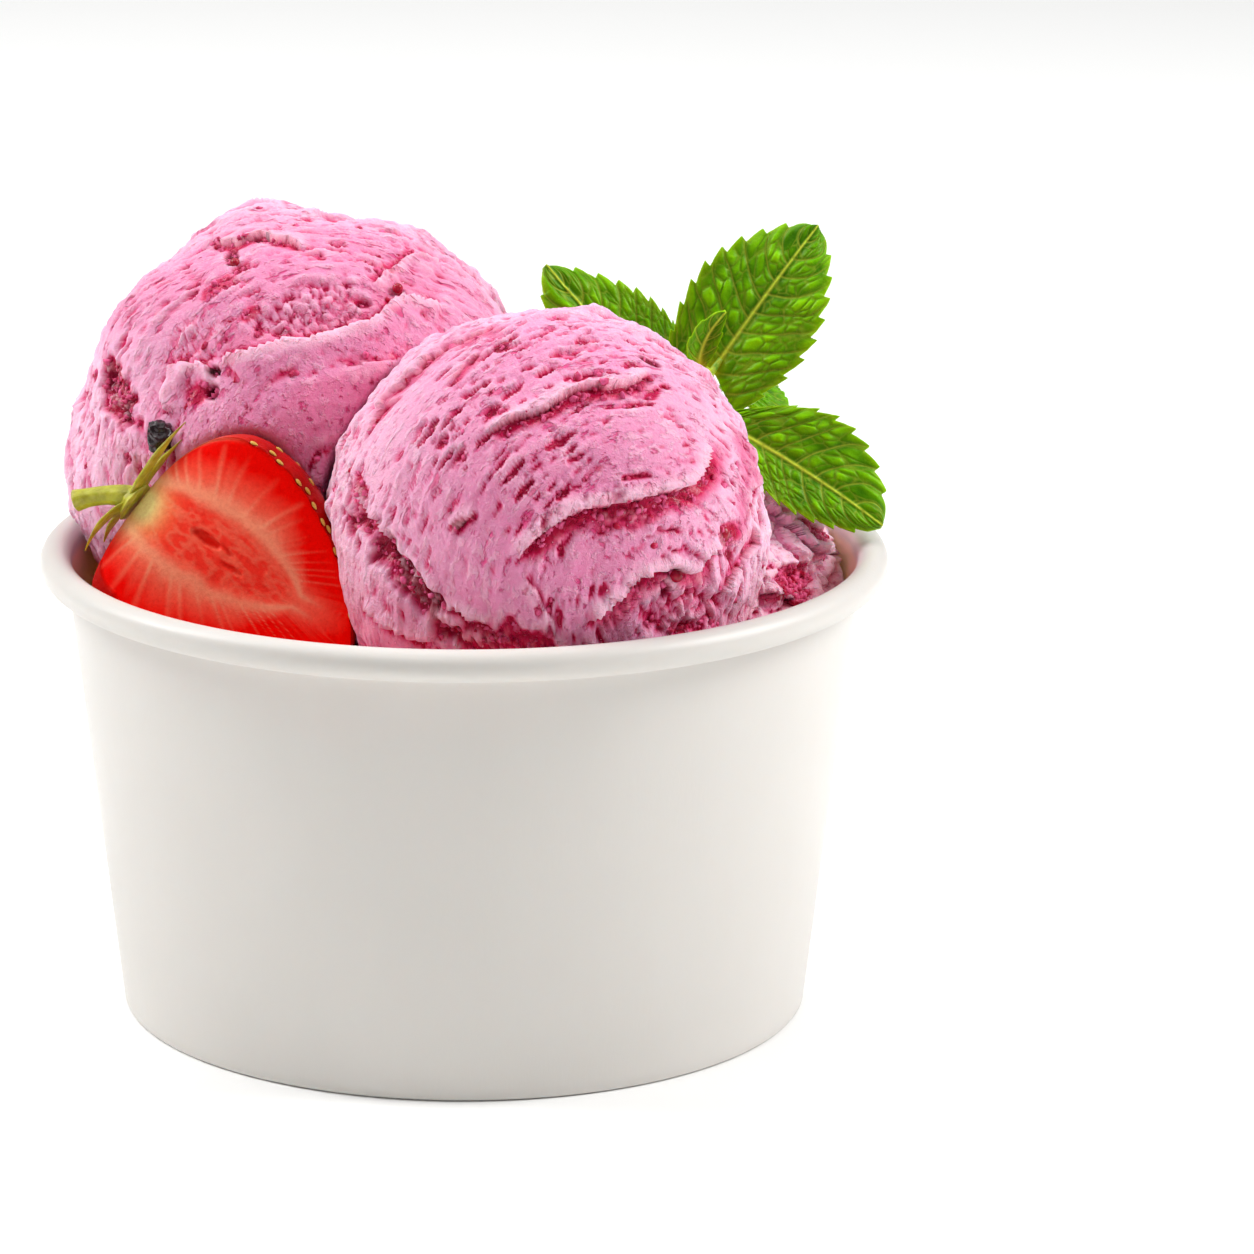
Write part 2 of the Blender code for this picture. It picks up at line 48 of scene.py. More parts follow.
# Tub wall. A blank of white coated board is rolled into a cone, lapped down one side and glued. Its top
# edge is rolled outwards into a bead, and its foot is folded in over the base disc.
MM = 0.001
TUB_HEIGHT = 53.36
RIM_RADIUS = 48.0
FOOT_RADIUS = 39.03
BEAD_RADIUS = 1.77
BOARD = 0.6
HEM_HEIGHT = 6.0
HEM_THICKNESS = 1.6
TURN_STEPS = 288
LAP_TURN = math.radians(74)
LAP_WIDTH = 7.0
LAP_STEP = 0.22


class Wire:
    """A socket of a material's nodes. Sums, differences and products of wires add Math nodes."""

    def __init__(self, socket):
        self.socket = socket

    def node(self, kind, settings, inputs, output=0):
        """Adds one node to this wire's tree: its settings first, then a value or a link for each socket."""
        tree = self.socket.id_data
        made = tree.nodes.new("ShaderNode" + kind)
        for key, value in settings.items():
            setattr(made, key, value)
        for key, value in inputs.items():
            if isinstance(value, Wire):
                tree.links.new(value.socket, made.inputs[key])
            else:
                made.inputs[key].default_value = value
        return Wire(made.outputs[output])

    def maths(self, operation, first, second):
        """Adds a Math node over two wires or numbers."""
        return self.node("Math", {"operation": operation}, {0: first, 1: second})

    def __add__(self, other):
        return self.maths("ADD", self, other)

    def __sub__(self, other):
        return self.maths("SUBTRACT", self, other)

    def __rsub__(self, other):
        return self.maths("SUBTRACT", other, self)

    def __mul__(self, other):
        return self.maths("MULTIPLY", self, other)

    __radd__ = __add__
    __rmul__ = __mul__

    def kept(self, low=0.0, high=1.0):
        """The value held between a low and a high number."""
        return self.maths("MINIMUM", self.maths("MAXIMUM", self, low), high)

    def grain(self, size, detail=3.0, roughness=0.6, stretch=(1.0, 1.0, 1.0)):
        """Soft noise from 0 to 1 whose lumps are about a size in millimetres, stretched along each axis."""
        where = self.node("VectorMath", {"operation": "MULTIPLY"}, {0: self, 1: stretch})
        inputs = {"Vector": where, "Scale": 1.0 / (size * MM), "Detail": detail, "Roughness": roughness}
        return self.node("TexNoise", {}, inputs)

    def shade(self, first, second):
        """A colour that goes from the first to the second as this value goes from 0 to 1."""
        return self.node("Mix", {"data_type": "RGBA"}, {0: self, 6: first, 7: second}, output=2)


def linear(red, green, blue):
    """A colour given as 0 to 255 as a screen shows it, as the light it stands for."""
    shown = np.array([red, green, blue]) / 255
    light = np.where(shown <= 0.04045, shown / 12.92, ((shown + 0.055) / 1.055) ** 2.4)
    return (*(float(v) for v in light), 1.0)


def new_finish(name, colour, **constants):
    """A material: it returns itself, its shader's node and the place on the piece as a wire."""
    made = bpy.data.materials.new(name)
    made.use_nodes = True
    shader = made.node_tree.nodes["Principled BSDF"]
    shader.inputs["Base Color"].default_value = colour
    for socket, value in constants.items():
        shader.inputs[socket.replace("_", " ")].default_value = value
    place = made.node_tree.nodes.new("ShaderNodeTexCoord").outputs["Object"]
    return made, shader, Wire(place)


def feed(shader, socket, wire):
    """Links a wire to one of the shader's sockets."""
    shader.id_data.links.new(wire.socket, shader.inputs[socket])


def bumped(shader, height, depth):
    """Feeds a height wire, from 0 to 1 over a depth in millimetres, through a Bump node to the normal."""
    inputs = {"Height": height, "Strength": 1.0, "Distance": depth * MM}
    feed(shader, "Normal", height.node("Bump", {}, inputs))


def grid_faces(rows, columns, closed_rows=False, closed_columns=False, first=0):
    """Four-cornered faces over a grid of points, joined round in either direction if it is closed."""
    index = first + np.arange(rows * columns).reshape(rows, columns)
    if closed_columns:
        index = np.concatenate([index, index[:, :1]], 1)
    if closed_rows:
        index = np.concatenate([index, index[:1]], 0)
    return np.stack([index[:-1, :-1], index[1:, :-1], index[1:, 1:], index[:-1, 1:]], -1).reshape(-1, 4)


def fan(ring, middle):
    """Three-cornered faces from a closed ring of points to one point."""
    return np.stack([ring, np.roll(ring, -1), np.full(len(ring), middle)], 1)


def turned(radius, height, turn):
    """Points at each radius and height of a section, carried round +Z."""
    return np.stack([radius * np.cos(turn), radius * np.sin(turn), height + 0 * turn], -1)


def enclosed(points, faces):
    """Six times the volume inside closed faces: the sum over their triangles of a dot (b cross c)."""
    total = 0.0
    for group in faces:
        for k in range(1, group.shape[1] - 1):
            a, b, c = points[group[:, 0]], points[group[:, k]], points[group[:, k + 1]]
            total += float((a * np.cross(b, c)).sum())
    return total


def piece(name, finish, slot, points, *faces, paint=None, replaces=(), flat=False):
    """One closed piece from points in millimetres and arrays of faces, turned to face outwards."""
    if enclosed(points - points.mean(0), faces) < 0:
        faces = [group[:, ::-1] for group in faces]
    mesh = bpy.data.meshes.new(name)
    corners = np.concatenate([group.ravel() for group in faces])
    counts = np.concatenate([np.full(len(group), group.shape[1]) for group in faces])
    mesh.vertices.add(len(points))
    mesh.vertices.foreach_set("co", (points * MM).astype(np.float32).ravel())
    mesh.loops.add(len(corners))
    mesh.loops.foreach_set("vertex_index", corners.astype(np.int32))
    mesh.polygons.add(len(counts))
    mesh.polygons.foreach_set("loop_start", (np.cumsum(counts) - counts).astype(np.int32))
    mesh.update(calc_edges=True)
    mesh.polygons.foreach_set("use_smooth", np.full(len(counts), not flat))
    for label, colours in (paint or {}).items():
        layer = mesh.color_attributes.new(label, "FLOAT_COLOR", "POINT")
        full = np.ones((len(points), 4), np.float32)
        full[:, :colours.shape[1]] = colours
        layer.data.foreach_set("color", full.ravel())
    mesh.materials.append(finish)
    made = bpy.data.objects.new(name, mesh)
    bpy.context.scene.collection.objects.link(made)
    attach(made, "root")
    if replaces:
        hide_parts(*replaces)
    return made


def inner_radius(z):
    """Radius of the wall's inner face at a height: a straight taper up to the bead's inner side."""
    top_radius = RIM_RADIUS - 2 * BEAD_RADIUS
    bead_height = TUB_HEIGHT - BEAD_RADIUS
    taper = (top_radius + BOARD - FOOT_RADIUS) / bead_height
    return top_radius - taper * (bead_height - z)


def wall_outline():
    """Radius and height round the wall's section: outer side, bead, inner side, hem and a rounded foot."""
    bead = np.array([RIM_RADIUS - BEAD_RADIUS, TUB_HEIGHT - BEAD_RADIUS])
    outer_at_bead = inner_radius(bead[1]) + BOARD
    tuck = -math.acos((outer_at_bead - bead[0]) / BEAD_RADIUS)
    rise = np.linspace(0.25, bead[1] + BEAD_RADIUS * math.sin(tuck), 40, endpoint=False)
    outer = np.stack([inner_radius(rise) + BOARD, rise], 1)
    turn = np.linspace(tuck, math.pi, 34)
    roll = bead + BEAD_RADIUS * np.stack([np.cos(turn), np.sin(turn)], 1)
    fall = np.linspace(bead[1] - 1.0, HEM_HEIGHT, 24)
    inner = np.stack([inner_radius(fall), fall], 1)
    hem = inner_radius(HEM_HEIGHT) + BOARD - HEM_THICKNESS
    foot = FOOT_RADIUS - HEM_THICKNESS
    fold = np.array([(hem + 0.2, HEM_HEIGHT), (hem, HEM_HEIGHT - 0.2), (foot, 0.3), (foot + 0.3, 0.0),
                     (FOOT_RADIUS - 0.35, 0.0), (FOOT_RADIUS - 0.08, 0.08)])
    return np.concatenate([outer, roll, inner, fold])


def lapped(outline):
    """The outline turned round +Z. Over the lap the outer face stands out by a step that fades round it."""
    turn = np.linspace(0, 2 * math.pi, TURN_STEPS, endpoint=False)
    turn = np.sort(np.append(turn, LAP_TURN + np.array([-0.0005, 0.0005])))
    radius, height = outline[:, 0][:, None], outline[:, 1][:, None]
    past = (turn - LAP_TURN) * FOOT_RADIUS
    lap = np.where(past > 0, np.exp(-(past / LAP_WIDTH) ** 4), 0.0)
    outside = np.clip(np.minimum(radius - inner_radius(height) - 0.3, 0.3) / 0.3, 0, 1)
    outside = outside * np.clip((TUB_HEIGHT - 2.6 * BEAD_RADIUS - height) / 2, 0, 1)
    return turned(radius + LAP_STEP * lap * outside, height, turn)


def board_finish(name, lining_glow):
    """White board: a satin clay coat outside, a soft fibre cloudiness, and a smoother film inside with a
    painted warm glow.
    """
    made, shader, place = new_finish(
        name, linear(220, 216, 210), Roughness=0.42, Coat_Weight=0.12, Coat_Roughness=0.35, IOR=1.48,
        Subsurface_Weight=0.4, Subsurface_Radius=(1.0, 0.75, 0.6), Subsurface_Scale=0.0008)
    cloud = place.grain(9.0, detail=4.0, stretch=(1.0, 1.0, 0.45))
    fibre = place.grain(0.5, detail=2.0, stretch=(1.0, 1.0, 0.3))
    inside = place.node("Attribute", {"attribute_name": "lining_glow"}, {}, output=2)
    # The inner face takes a warm tint: painted light that passes through the wall and bounces off the cream.
    white = inside.shade((cloud * 0.35).shade(linear(217, 213, 208), linear(205, 200, 193)), lining_glow)
    feed(shader, "Base Color", white)
    feed(shader, "Roughness", 0.36 + cloud * 0.12 - inside * 0.1)
    bumped(shader, cloud * 0.6 + fibre * 0.25, 0.05)
    return made


# The second colour is the painted warm glow on the inner face.
board = board_finish("white_coated_board", linear(255, 224, 200))
outline = wall_outline()
wall_points = lapped(outline)
rows, columns = wall_points.shape[:2]
flat_wall = wall_points.reshape(-1, 3)
wall_reach = np.hypot(flat_wall[:, 0], flat_wall[:, 1])
is_lining = (wall_reach < inner_radius(flat_wall[:, 2]) + 0.1) & (flat_wall[:, 2] < TUB_HEIGHT - BEAD_RADIUS)
piece("tub_wall", board, "paper", flat_wall, grid_faces(rows, columns, True, True),
      paint={"lining_glow": is_lining[:, None] * np.ones(3)}, replaces=("cup_wall",))


# Base. A disc of the same board, pressed up inside the foot, with a shallow dish and a pressed ring
# where its edge turns down behind the hem.
GAP = 0.35
BASE_THICKNESS = 0.7
BASE_LIFT = HEM_HEIGHT + GAP
BASE_LINED = BASE_LIFT + 0.4
BASE_DISH = 0.25


def base_points():
    """Radius against height for a thin disc: flat, with a bead pressed near its edge, turned round +Z."""
    edge = inner_radius(HEM_HEIGHT) - GAP
    reach = np.concatenate([np.linspace(0.02, 0.86, 22), np.linspace(0.88, 1.0, 14)]) * edge
    press = BASE_DISH * np.exp(-((reach - 0.93 * edge) / 0.9) ** 2)
    low = np.stack([reach, BASE_LIFT + 0.02 + press * 0.8], 1)
    high = np.stack([reach, BASE_LIFT + BASE_THICKNESS - 0.02 - press * 0.4], 1)[::-1]
    section = np.concatenate([low, high])
    turn = np.linspace(0, 2 * math.pi, 144, endpoint=False)
    return turned(section[:, 0][:, None], section[:, 1][:, None], turn)


def capped(rows, columns):
    """Faces of a tube of rings, with a fan at each end to the two points that follow the rings."""
    first = np.arange(columns)
    last = first + (rows - 1) * columns
    count = rows * columns
    return grid_faces(rows, columns, False, True), fan(first, count), fan(last, count + 1)[:, ::-1]


disc = base_points()
disc_points = np.concatenate([disc.reshape(-1, 3), [disc[0].mean(0)], [disc[-1].mean(0)]])
piece("tub_base", board, "paper", disc_points, *capped(*disc.shape[:2]),
      paint={"lining_glow": (disc_points[:, 2] > BASE_LINED)[:, None] * np.ones(3)}, replaces=("cup_base",))


# Ice cream. Churned cream with crushed red berries, dug out of a block with a scoop. The scoop drags its
# skin into arcs of small torn pits, folds it into lipped layers, and opens crimson seams of berry.
GRID = 306
REACH = math.radians(125)
VIEW_TILT = math.radians(15.4)
TOWARDS = np.array([0.0, -math.cos(VIEW_TILT), math.sin(VIEW_TILT)])
UPWARDS = np.array([0.0, math.sin(VIEW_TILT), math.cos(VIEW_TILT)])
RIGHTWARDS = np.array([1.0, 0.0, 0.0])
FRONT_CENTRE = (9.2, -17.0, 59.2)
FRONT_RADII = (24.5, 24.6, 24.3)
BACK_CENTRE = (-17.7, 13.0, 60.7)
BACK_RADII = (27.9, 27.7, 27.8)
RIGHT_CENTRE = (25.5, 9.5, 46.6)
RIGHT_RADII = (18.0, 20.5, 14.6)
# Each scoop's middle, radii, height of its lumps, their seed and their wavelength
FRONT_BALL = (FRONT_CENTRE, FRONT_RADII, 0.35, 3, 17.0)
BACK_BALL = (BACK_CENTRE, BACK_RADII, 0.55, 11, 17.0)
RIGHT_BALL = (RIGHT_CENTRE, RIGHT_RADII, 0.9, 23, 9.0)
OVER_RIM_RADIUS = 47.5
BERRY_CROWN = (-37.0, -15.5, 61.6)
BERRY_TIP = (-14.4, -27.7, 44.6)
BERRY_FACE = (-0.295, -0.919, 0.26)
BERRY_HALF_WIDTH = 15.2
BERRY_HALF_DEPTH = 9.2
BERRY_CUT = 0.3
BERRY_FULLEST = 0.36


def eased(share):
    """A share held from 0 to 1 and eased at both ends: 3s² - 2s³."""
    share = np.clip(share, 0, 1)
    return share * share * (3 - 2 * share)


def chance(cells, seed):
    """A fixed number from 0 to 1 for each whole-numbered cell: the tail of a long sine of its place."""
    mixed = cells @ np.array([127.1, 311.7, 74.7][:cells.shape[-1]]) + seed * 19.19
    return np.modf(np.abs(np.sin(mixed)) * 43758.5453)[0]


def soft_noise(points, size, seed):
    """Smooth noise from -1 to 1: each cell's corners hold chances, and a point blends them with easing."""
    scaled = points / size
    low = np.floor(scaled)
    ease = eased(scaled - low)
    total = np.zeros(len(points))
    for corner in np.ndindex(*(2,) * points.shape[1]):
        weight = np.where(np.array(corner) == 1, ease, 1 - ease).prod(1)
        total += weight * chance(low + corner, seed)
    return 2 * total - 1


def rough_noise(points, size, seed, layers=3):
    """Layers of smooth noise, each half as large and half as high as the one before."""
    return sum(soft_noise(points, size / 2**k, seed + k) / 2**k for k in range(layers)) / 1.6


def lump_spots(points, size, seed):
    """Distances, in cell sizes, to the nearest and second nearest of one random spot in each cell."""
    scaled = points / size
    low = np.floor(scaled)
    nearest = np.full(len(points), 9.0)
    second = np.full(len(points), 9.0)
    for step in np.ndindex(3, 3, 3):
        cell = low + np.array(step) - 1
        spot = cell + np.stack([chance(cell, seed + k) for k in (1, 2, 3)], 1)
        apart = np.linalg.norm(scaled - spot, axis=1)
        second = np.minimum(second, np.maximum(apart, nearest))
        nearest = np.minimum(nearest, apart)
    return nearest, second


def ripple(points, wavelength, seed, waves=9):
    """Low lumps: the mean of plane waves that run in random directions, from about -1 to 1."""
    rng = np.random.default_rng(seed)
    run = rng.normal(size=(waves, 3))
    run *= 2 * math.pi / wavelength / np.linalg.norm(run, axis=1)[:, None]
    phase = rng.uniform(0, 2 * math.pi, waves)
    return np.cos(points @ run.T + phase).sum(axis=1) / math.sqrt(waves)


def over_line(x, y, line):
    """Signed distance to a drawn line, its left side positive, the share along it, and its left normal."""
    line = np.array(line, float)
    starts, runs = line[:-1], np.diff(line, axis=0)
    lengths = np.linalg.norm(runs, axis=1)
    offsets = np.stack([x, y], 1)[:, None] - starts
    share = np.clip((offsets * runs).sum(-1) / lengths**2, 0, 1)
    distance = np.linalg.norm(offsets - share[..., None] * runs, axis=-1)
    nearest = distance.argmin(1)
    pick = np.arange(len(x))
    side = runs[nearest, 0] * offsets[pick, nearest, 1] - runs[nearest, 1] * offsets[pick, nearest, 0]
    before = np.concatenate([[0], np.cumsum(lengths)])[nearest]
    along = (before + share[pick, nearest] * lengths[nearest]) / lengths.sum()
    left = np.stack([-runs[nearest, 1], runs[nearest, 0]], 1) / lengths[nearest, None]
    return np.sign(side) * distance[pick, nearest], along, left


def ball_cap():
    """Directions from straight up to REACH off it, about evenly spread. A square is bent into rings of
    equal area: its larger coordinate gives the ring, and the ratio of the two gives the turn round it."""
    side = np.linspace(-1, 1, GRID)
    u, v = np.meshgrid(side, side)
    wide = np.abs(u) > np.abs(v)
    ring = np.where(wide, u, v)
    safe = np.where(ring == 0, 1.0, ring)
    turn = np.where(wide, math.pi / 4 * v / safe, math.pi / 2 - math.pi / 4 * u / safe)
    height = 1 - (1 - math.cos(REACH)) * ring**2
    out = np.sqrt(np.clip(1 - height**2, 0, 1)) * np.sign(ring)
    return np.stack([out * np.cos(turn), out * np.sin(turn), height], -1).reshape(-1, 3)


def cap_rim():
    """The border points of the square grid, in order round it."""
    index = np.arange(GRID * GRID).reshape(GRID, GRID)
    return np.concatenate([index[0, :-1], index[:-1, -1], index[-1, :0:-1], index[:0:-1, 0]])


def ball_length(away, radii, lumps, seed, wavelength):
    """Distance from a scoop's middle to its plain surface in each direction: an oval ball with low lumps."""
    length = 1 / np.linalg.norm(away / np.array(radii), axis=1)
    return length + lumps * ripple(away * length[:, None], wavelength, seed)


def in_ball(points, centre, radii, lumps, seed, wavelength, grow=GAP):
    """True for the points inside a scoop that has grown by a gap."""
    apart = points - np.array(centre)
    distance = np.linalg.norm(apart, axis=1)
    return distance < ball_length(apart / distance[:, None], radii, lumps, seed, wavelength) + grow


def past_wall(points):
    """True for the points outside the tub's inner face, or above it outside the heap's widest reach."""
    r = np.hypot(points[:, 0], points[:, 1])
    limit = inner_radius(np.minimum(points[:, 2], TUB_HEIGHT)) - GAP
    over = eased((points[:, 2] - TUB_HEIGHT + 0.4) / 4.0)
    return r > limit + (OVER_RIM_RADIUS - limit) * over


berry_crown = np.array(BERRY_CROWN)
berry_out = np.array(BERRY_FACE) / np.linalg.norm(BERRY_FACE)
berry_along = np.array(BERRY_TIP) - berry_crown
berry_along = berry_along - berry_out * (berry_along @ berry_out)
berry_length = float(np.linalg.norm(berry_along))
berry_along = berry_along / berry_length
berry_across = np.cross(berry_along, berry_out)


def berry_width(share):
    """Half width along the axis: broad shoulders at the crown, fullest at a third, a blunt tip."""
    share = np.clip(share, 0, 1)
    to_crown = np.clip(1 - share / BERRY_FULLEST, 0, 1)
    to_tip = np.clip((share - BERRY_FULLEST) / (1 - BERRY_FULLEST), 0, 1)
    return BERRY_HALF_WIDTH * (1 - to_crown**3.2) ** 0.5 * (1 - to_tip**1.62) ** 0.62


def in_berry(points, grow=0.3):
    """True for the points inside the half strawberry that has grown by a gap."""
    apart = points - berry_crown
    along = apart @ berry_along
    sunk = -(apart @ berry_out) - BERRY_CUT * BERRY_HALF_DEPTH
    width = berry_width(along / berry_length)
    depth = width * BERRY_HALF_DEPTH / BERRY_HALF_WIDTH
    inside = (along > -grow) & (along < berry_length + grow) & (-(apart @ berry_out) > -grow)
    return inside & ((apart @ berry_across / (width + grow)) ** 2 + (sunk / (depth + grow)) ** 2 < 1)


def dented(centre, away, full, blocked):
    """Lengths cut back by halving wherever their ends lie inside something, then eased on the grid."""
    length = full.copy()
    hit = blocked(centre + away * full[:, None])
    near, far = full[hit] * 0.2, full[hit]
    for _ in range(11):
        middle = (near + far) / 2
        inside = blocked(centre + away[hit] * middle[:, None])
        near, far = np.where(inside, near, middle), np.where(inside, middle, far)
    length[hit] = near
    sunk = (length - full).reshape(GRID, GRID)
    for _ in range(10):
        padded = np.pad(sunk, 1, mode="edge")
        mean = (padded[:-2, 1:-1] + padded[2:, 1:-1] + padded[1:-1, :-2] + padded[1:-1, 2:]) / 4
        sunk = np.minimum(sunk, mean)
    return full + sunk.ravel()


def drag_frame(spot, pole, start):
    """Place in a scoop's drag marks: millimetres out from their pole over the ball, and turn about it."""
    pole = pole / np.linalg.norm(pole)
    start = start - pole * (start @ pole)
    start = start / np.linalg.norm(start)
    size = np.linalg.norm(spot, axis=1)
    lean = np.arccos(np.clip(spot @ pole / size, -1, 1))
    turn = np.arctan2(spot @ np.cross(pole, start), spot @ start)
    return lean * size.mean(), turn, size.mean()


def pits(out, turn, size, long, wide, share, seed):
    """Torn pits along the drag arcs, 1 deep in their middles. Rings as wide as a pit are cut into cells,
    a share of the cells hold one pit, and its depth is 1 - d² of the distance d in its own sizes."""
    ring = np.floor(out / wide)
    deepest = np.zeros(len(out))
    for i in (-1, 0, 1):
        lane = ring + i
        around = turn * size * np.sin(np.clip((lane + 0.5) * wide / size, 0.03, 3.1)) / long
        first = np.floor(around)
        for j in (-1, 0, 1):
            cell = np.stack([lane, first + j], 1)
            there = chance(cell, seed) < share
            reach = 0.28 + 0.34 * chance(cell, seed + 1)
            girth = 0.26 + 0.24 * chance(cell, seed + 2)
            tilt = 0.9 * (chance(cell, seed + 3) - 0.5)
            d_long = around - first - j - 0.5 - 0.4 * (chance(cell, seed + 4) - 0.5)
            d_wide = out / wide - lane - 0.5 - 0.5 * (chance(cell, seed + 5) - 0.5) - tilt * d_long
            depth = np.clip(1 - (d_long / reach) ** 2 - (d_wide / girth) ** 2, 0, 1) ** 0.4
            deepest = np.maximum(deepest, there * depth * (0.5 + 0.5 * chance(cell, seed + 6)))
    return deepest


def spread_out(heights, cells):
    """The heights of a scoop's square grid, averaged over a square of cells round each."""
    grid = np.pad(heights.reshape(GRID, GRID), cells, mode="edge")
    for axis in (0, 1):
        grid = sum(np.roll(grid, step, axis) for step in range(-cells, cells + 1)) / (2 * cells + 1)
    return grid[cells:-cells, cells:-cells].ravel()


class Relief:
    """What a scoop's skin does at each point of its cap: how far it rises, where it is pushed to, how much
    crimson it shows, which is berry juice and painted shade, how much painted shade it shows, and how pale it
    is with frost and painted highlight."""

    def __init__(self, spot, jag):
        self.spot = spot
        self.x, self.y, self.depth = spot @ RIGHTWARDS, spot @ UPWARDS, spot @ TOWARDS
        self.shown = eased(self.depth / 4 + 0.6)
        self.jag = jag
        self.rise = np.zeros(len(spot))
        self.push = np.zeros((len(spot), 3))
        self.juice_and_shade = np.zeros(len(spot))
        self.shade = np.zeros(len(spot))
        self.frost_and_highlight = np.zeros(len(spot))
        self.quiet = np.zeros(len(spot))

    def fold(self, line, lip, trough, roll=1.3, spread=1.5, curl=0.5, juice_and_shade=0.6, jag=0.35, ends=0.12):
        """A layer's edge along a line, its thick side on the line's left. The thick side swells as a bell
        of the distance and curls over, and the other side drops at once and climbs back as it spreads."""
        apart, along, left = over_line(self.x, self.y, line)
        apart = apart + jag * self.jag
        end = eased(np.minimum(along, 1 - along) / ends) * self.shown
        thick = lip * np.exp(-np.abs(apart / roll) ** 1.6)
        sunk = -0.62 * trough * np.exp(-np.abs(apart / (1.25 * spread)) ** 1.5)
        self.rise += end * np.where(apart > 0, thick, sunk)
        hang = 0.6 * curl * end * np.exp(-((apart / 0.6) ** 2)) * (apart > -0.15)
        self.push -= (left[:, :1] * RIGHTWARDS + left[:, 1:] * UPWARDS) * hang[:, None]
        # Crimson in the trough and under the lip is berry juice and painted shade, the dark band under the lip
        # is painted shade, and the pale band on the lip is painted highlight.
        inside = end * np.exp(-((apart + 0.55 * spread) / (0.55 * spread)) ** 2)
        under = end * np.exp(-((apart + 0.25) / 0.45) ** 2)
        self.juice_and_shade = np.maximum(self.juice_and_shade, juice_and_shade * np.maximum(inside, under))
        self.shade = np.maximum(self.shade, 0.12 * juice_and_shade * end * np.exp(-((apart + 0.35) / 0.4) ** 2))
        self.frost_and_highlight = np.maximum(self.frost_and_highlight, 0.4 * end * np.exp(-((apart - 0.75) / 0.45) ** 2))

    def patch(self, x, y, long, wide, tilt, juice_and_shade=0.0, shade=0.0, sink=0.0, ragged=0.5, frost_and_highlight=0.0):
        """A ragged oval that is made crimson by stain and painted shade, darkened with painted shade, sunk, or
        paled with frost and painted highlight. It returns its mask, from 0 to 1.
        """
        c, s = math.cos(math.radians(tilt)), math.sin(math.radians(tilt))
        a = ((self.x - x) * c + (self.y - y) * s) / long
        b = ((self.y - y) * c - (self.x - x) * s) / wide
        mask = eased((1 - np.hypot(a, b) + ragged * self.jag) * 2.2) * (self.depth > 0)
        self.juice_and_shade = np.maximum(self.juice_and_shade, juice_and_shade * mask)
        self.shade = np.maximum(self.shade, shade * mask)
        self.frost_and_highlight = np.maximum(self.frost_and_highlight, frost_and_highlight * mask)
        self.rise -= sink * mask
        return mask

    def crumble(self, mask, size, height, seed):
        """Broken crumbs: rounded lumps round random spots, parted by cracks, over a masked area."""
        warp = [soft_noise(self.spot, 0.9 * size, seed + k) * 0.55 * size for k in (1, 2, 3)]
        nearest, second = lump_spots(self.spot + np.stack(warp, 1), size, seed)
        lump = np.clip(second - nearest, 0, 0.5) / 0.5
        tall = 0.55 + 0.6 * soft_noise(self.spot, 1.6 * size, seed + 4)
        self.rise += mask * height * (tall * lump**0.6 - 0.5 - 0.3 * nearest**2)
        # The cracks are painted crimson, juice and painted shade, and the tall lumps' tops are paled with
        # painted highlight.
        self.juice_and_shade = np.maximum(self.juice_and_shade, 0.7 * mask * (1 - lump) ** 3)
        self.frost_and_highlight = np.maximum(self.frost_and_highlight, 0.4 * mask * lump * (tall > 0.5))


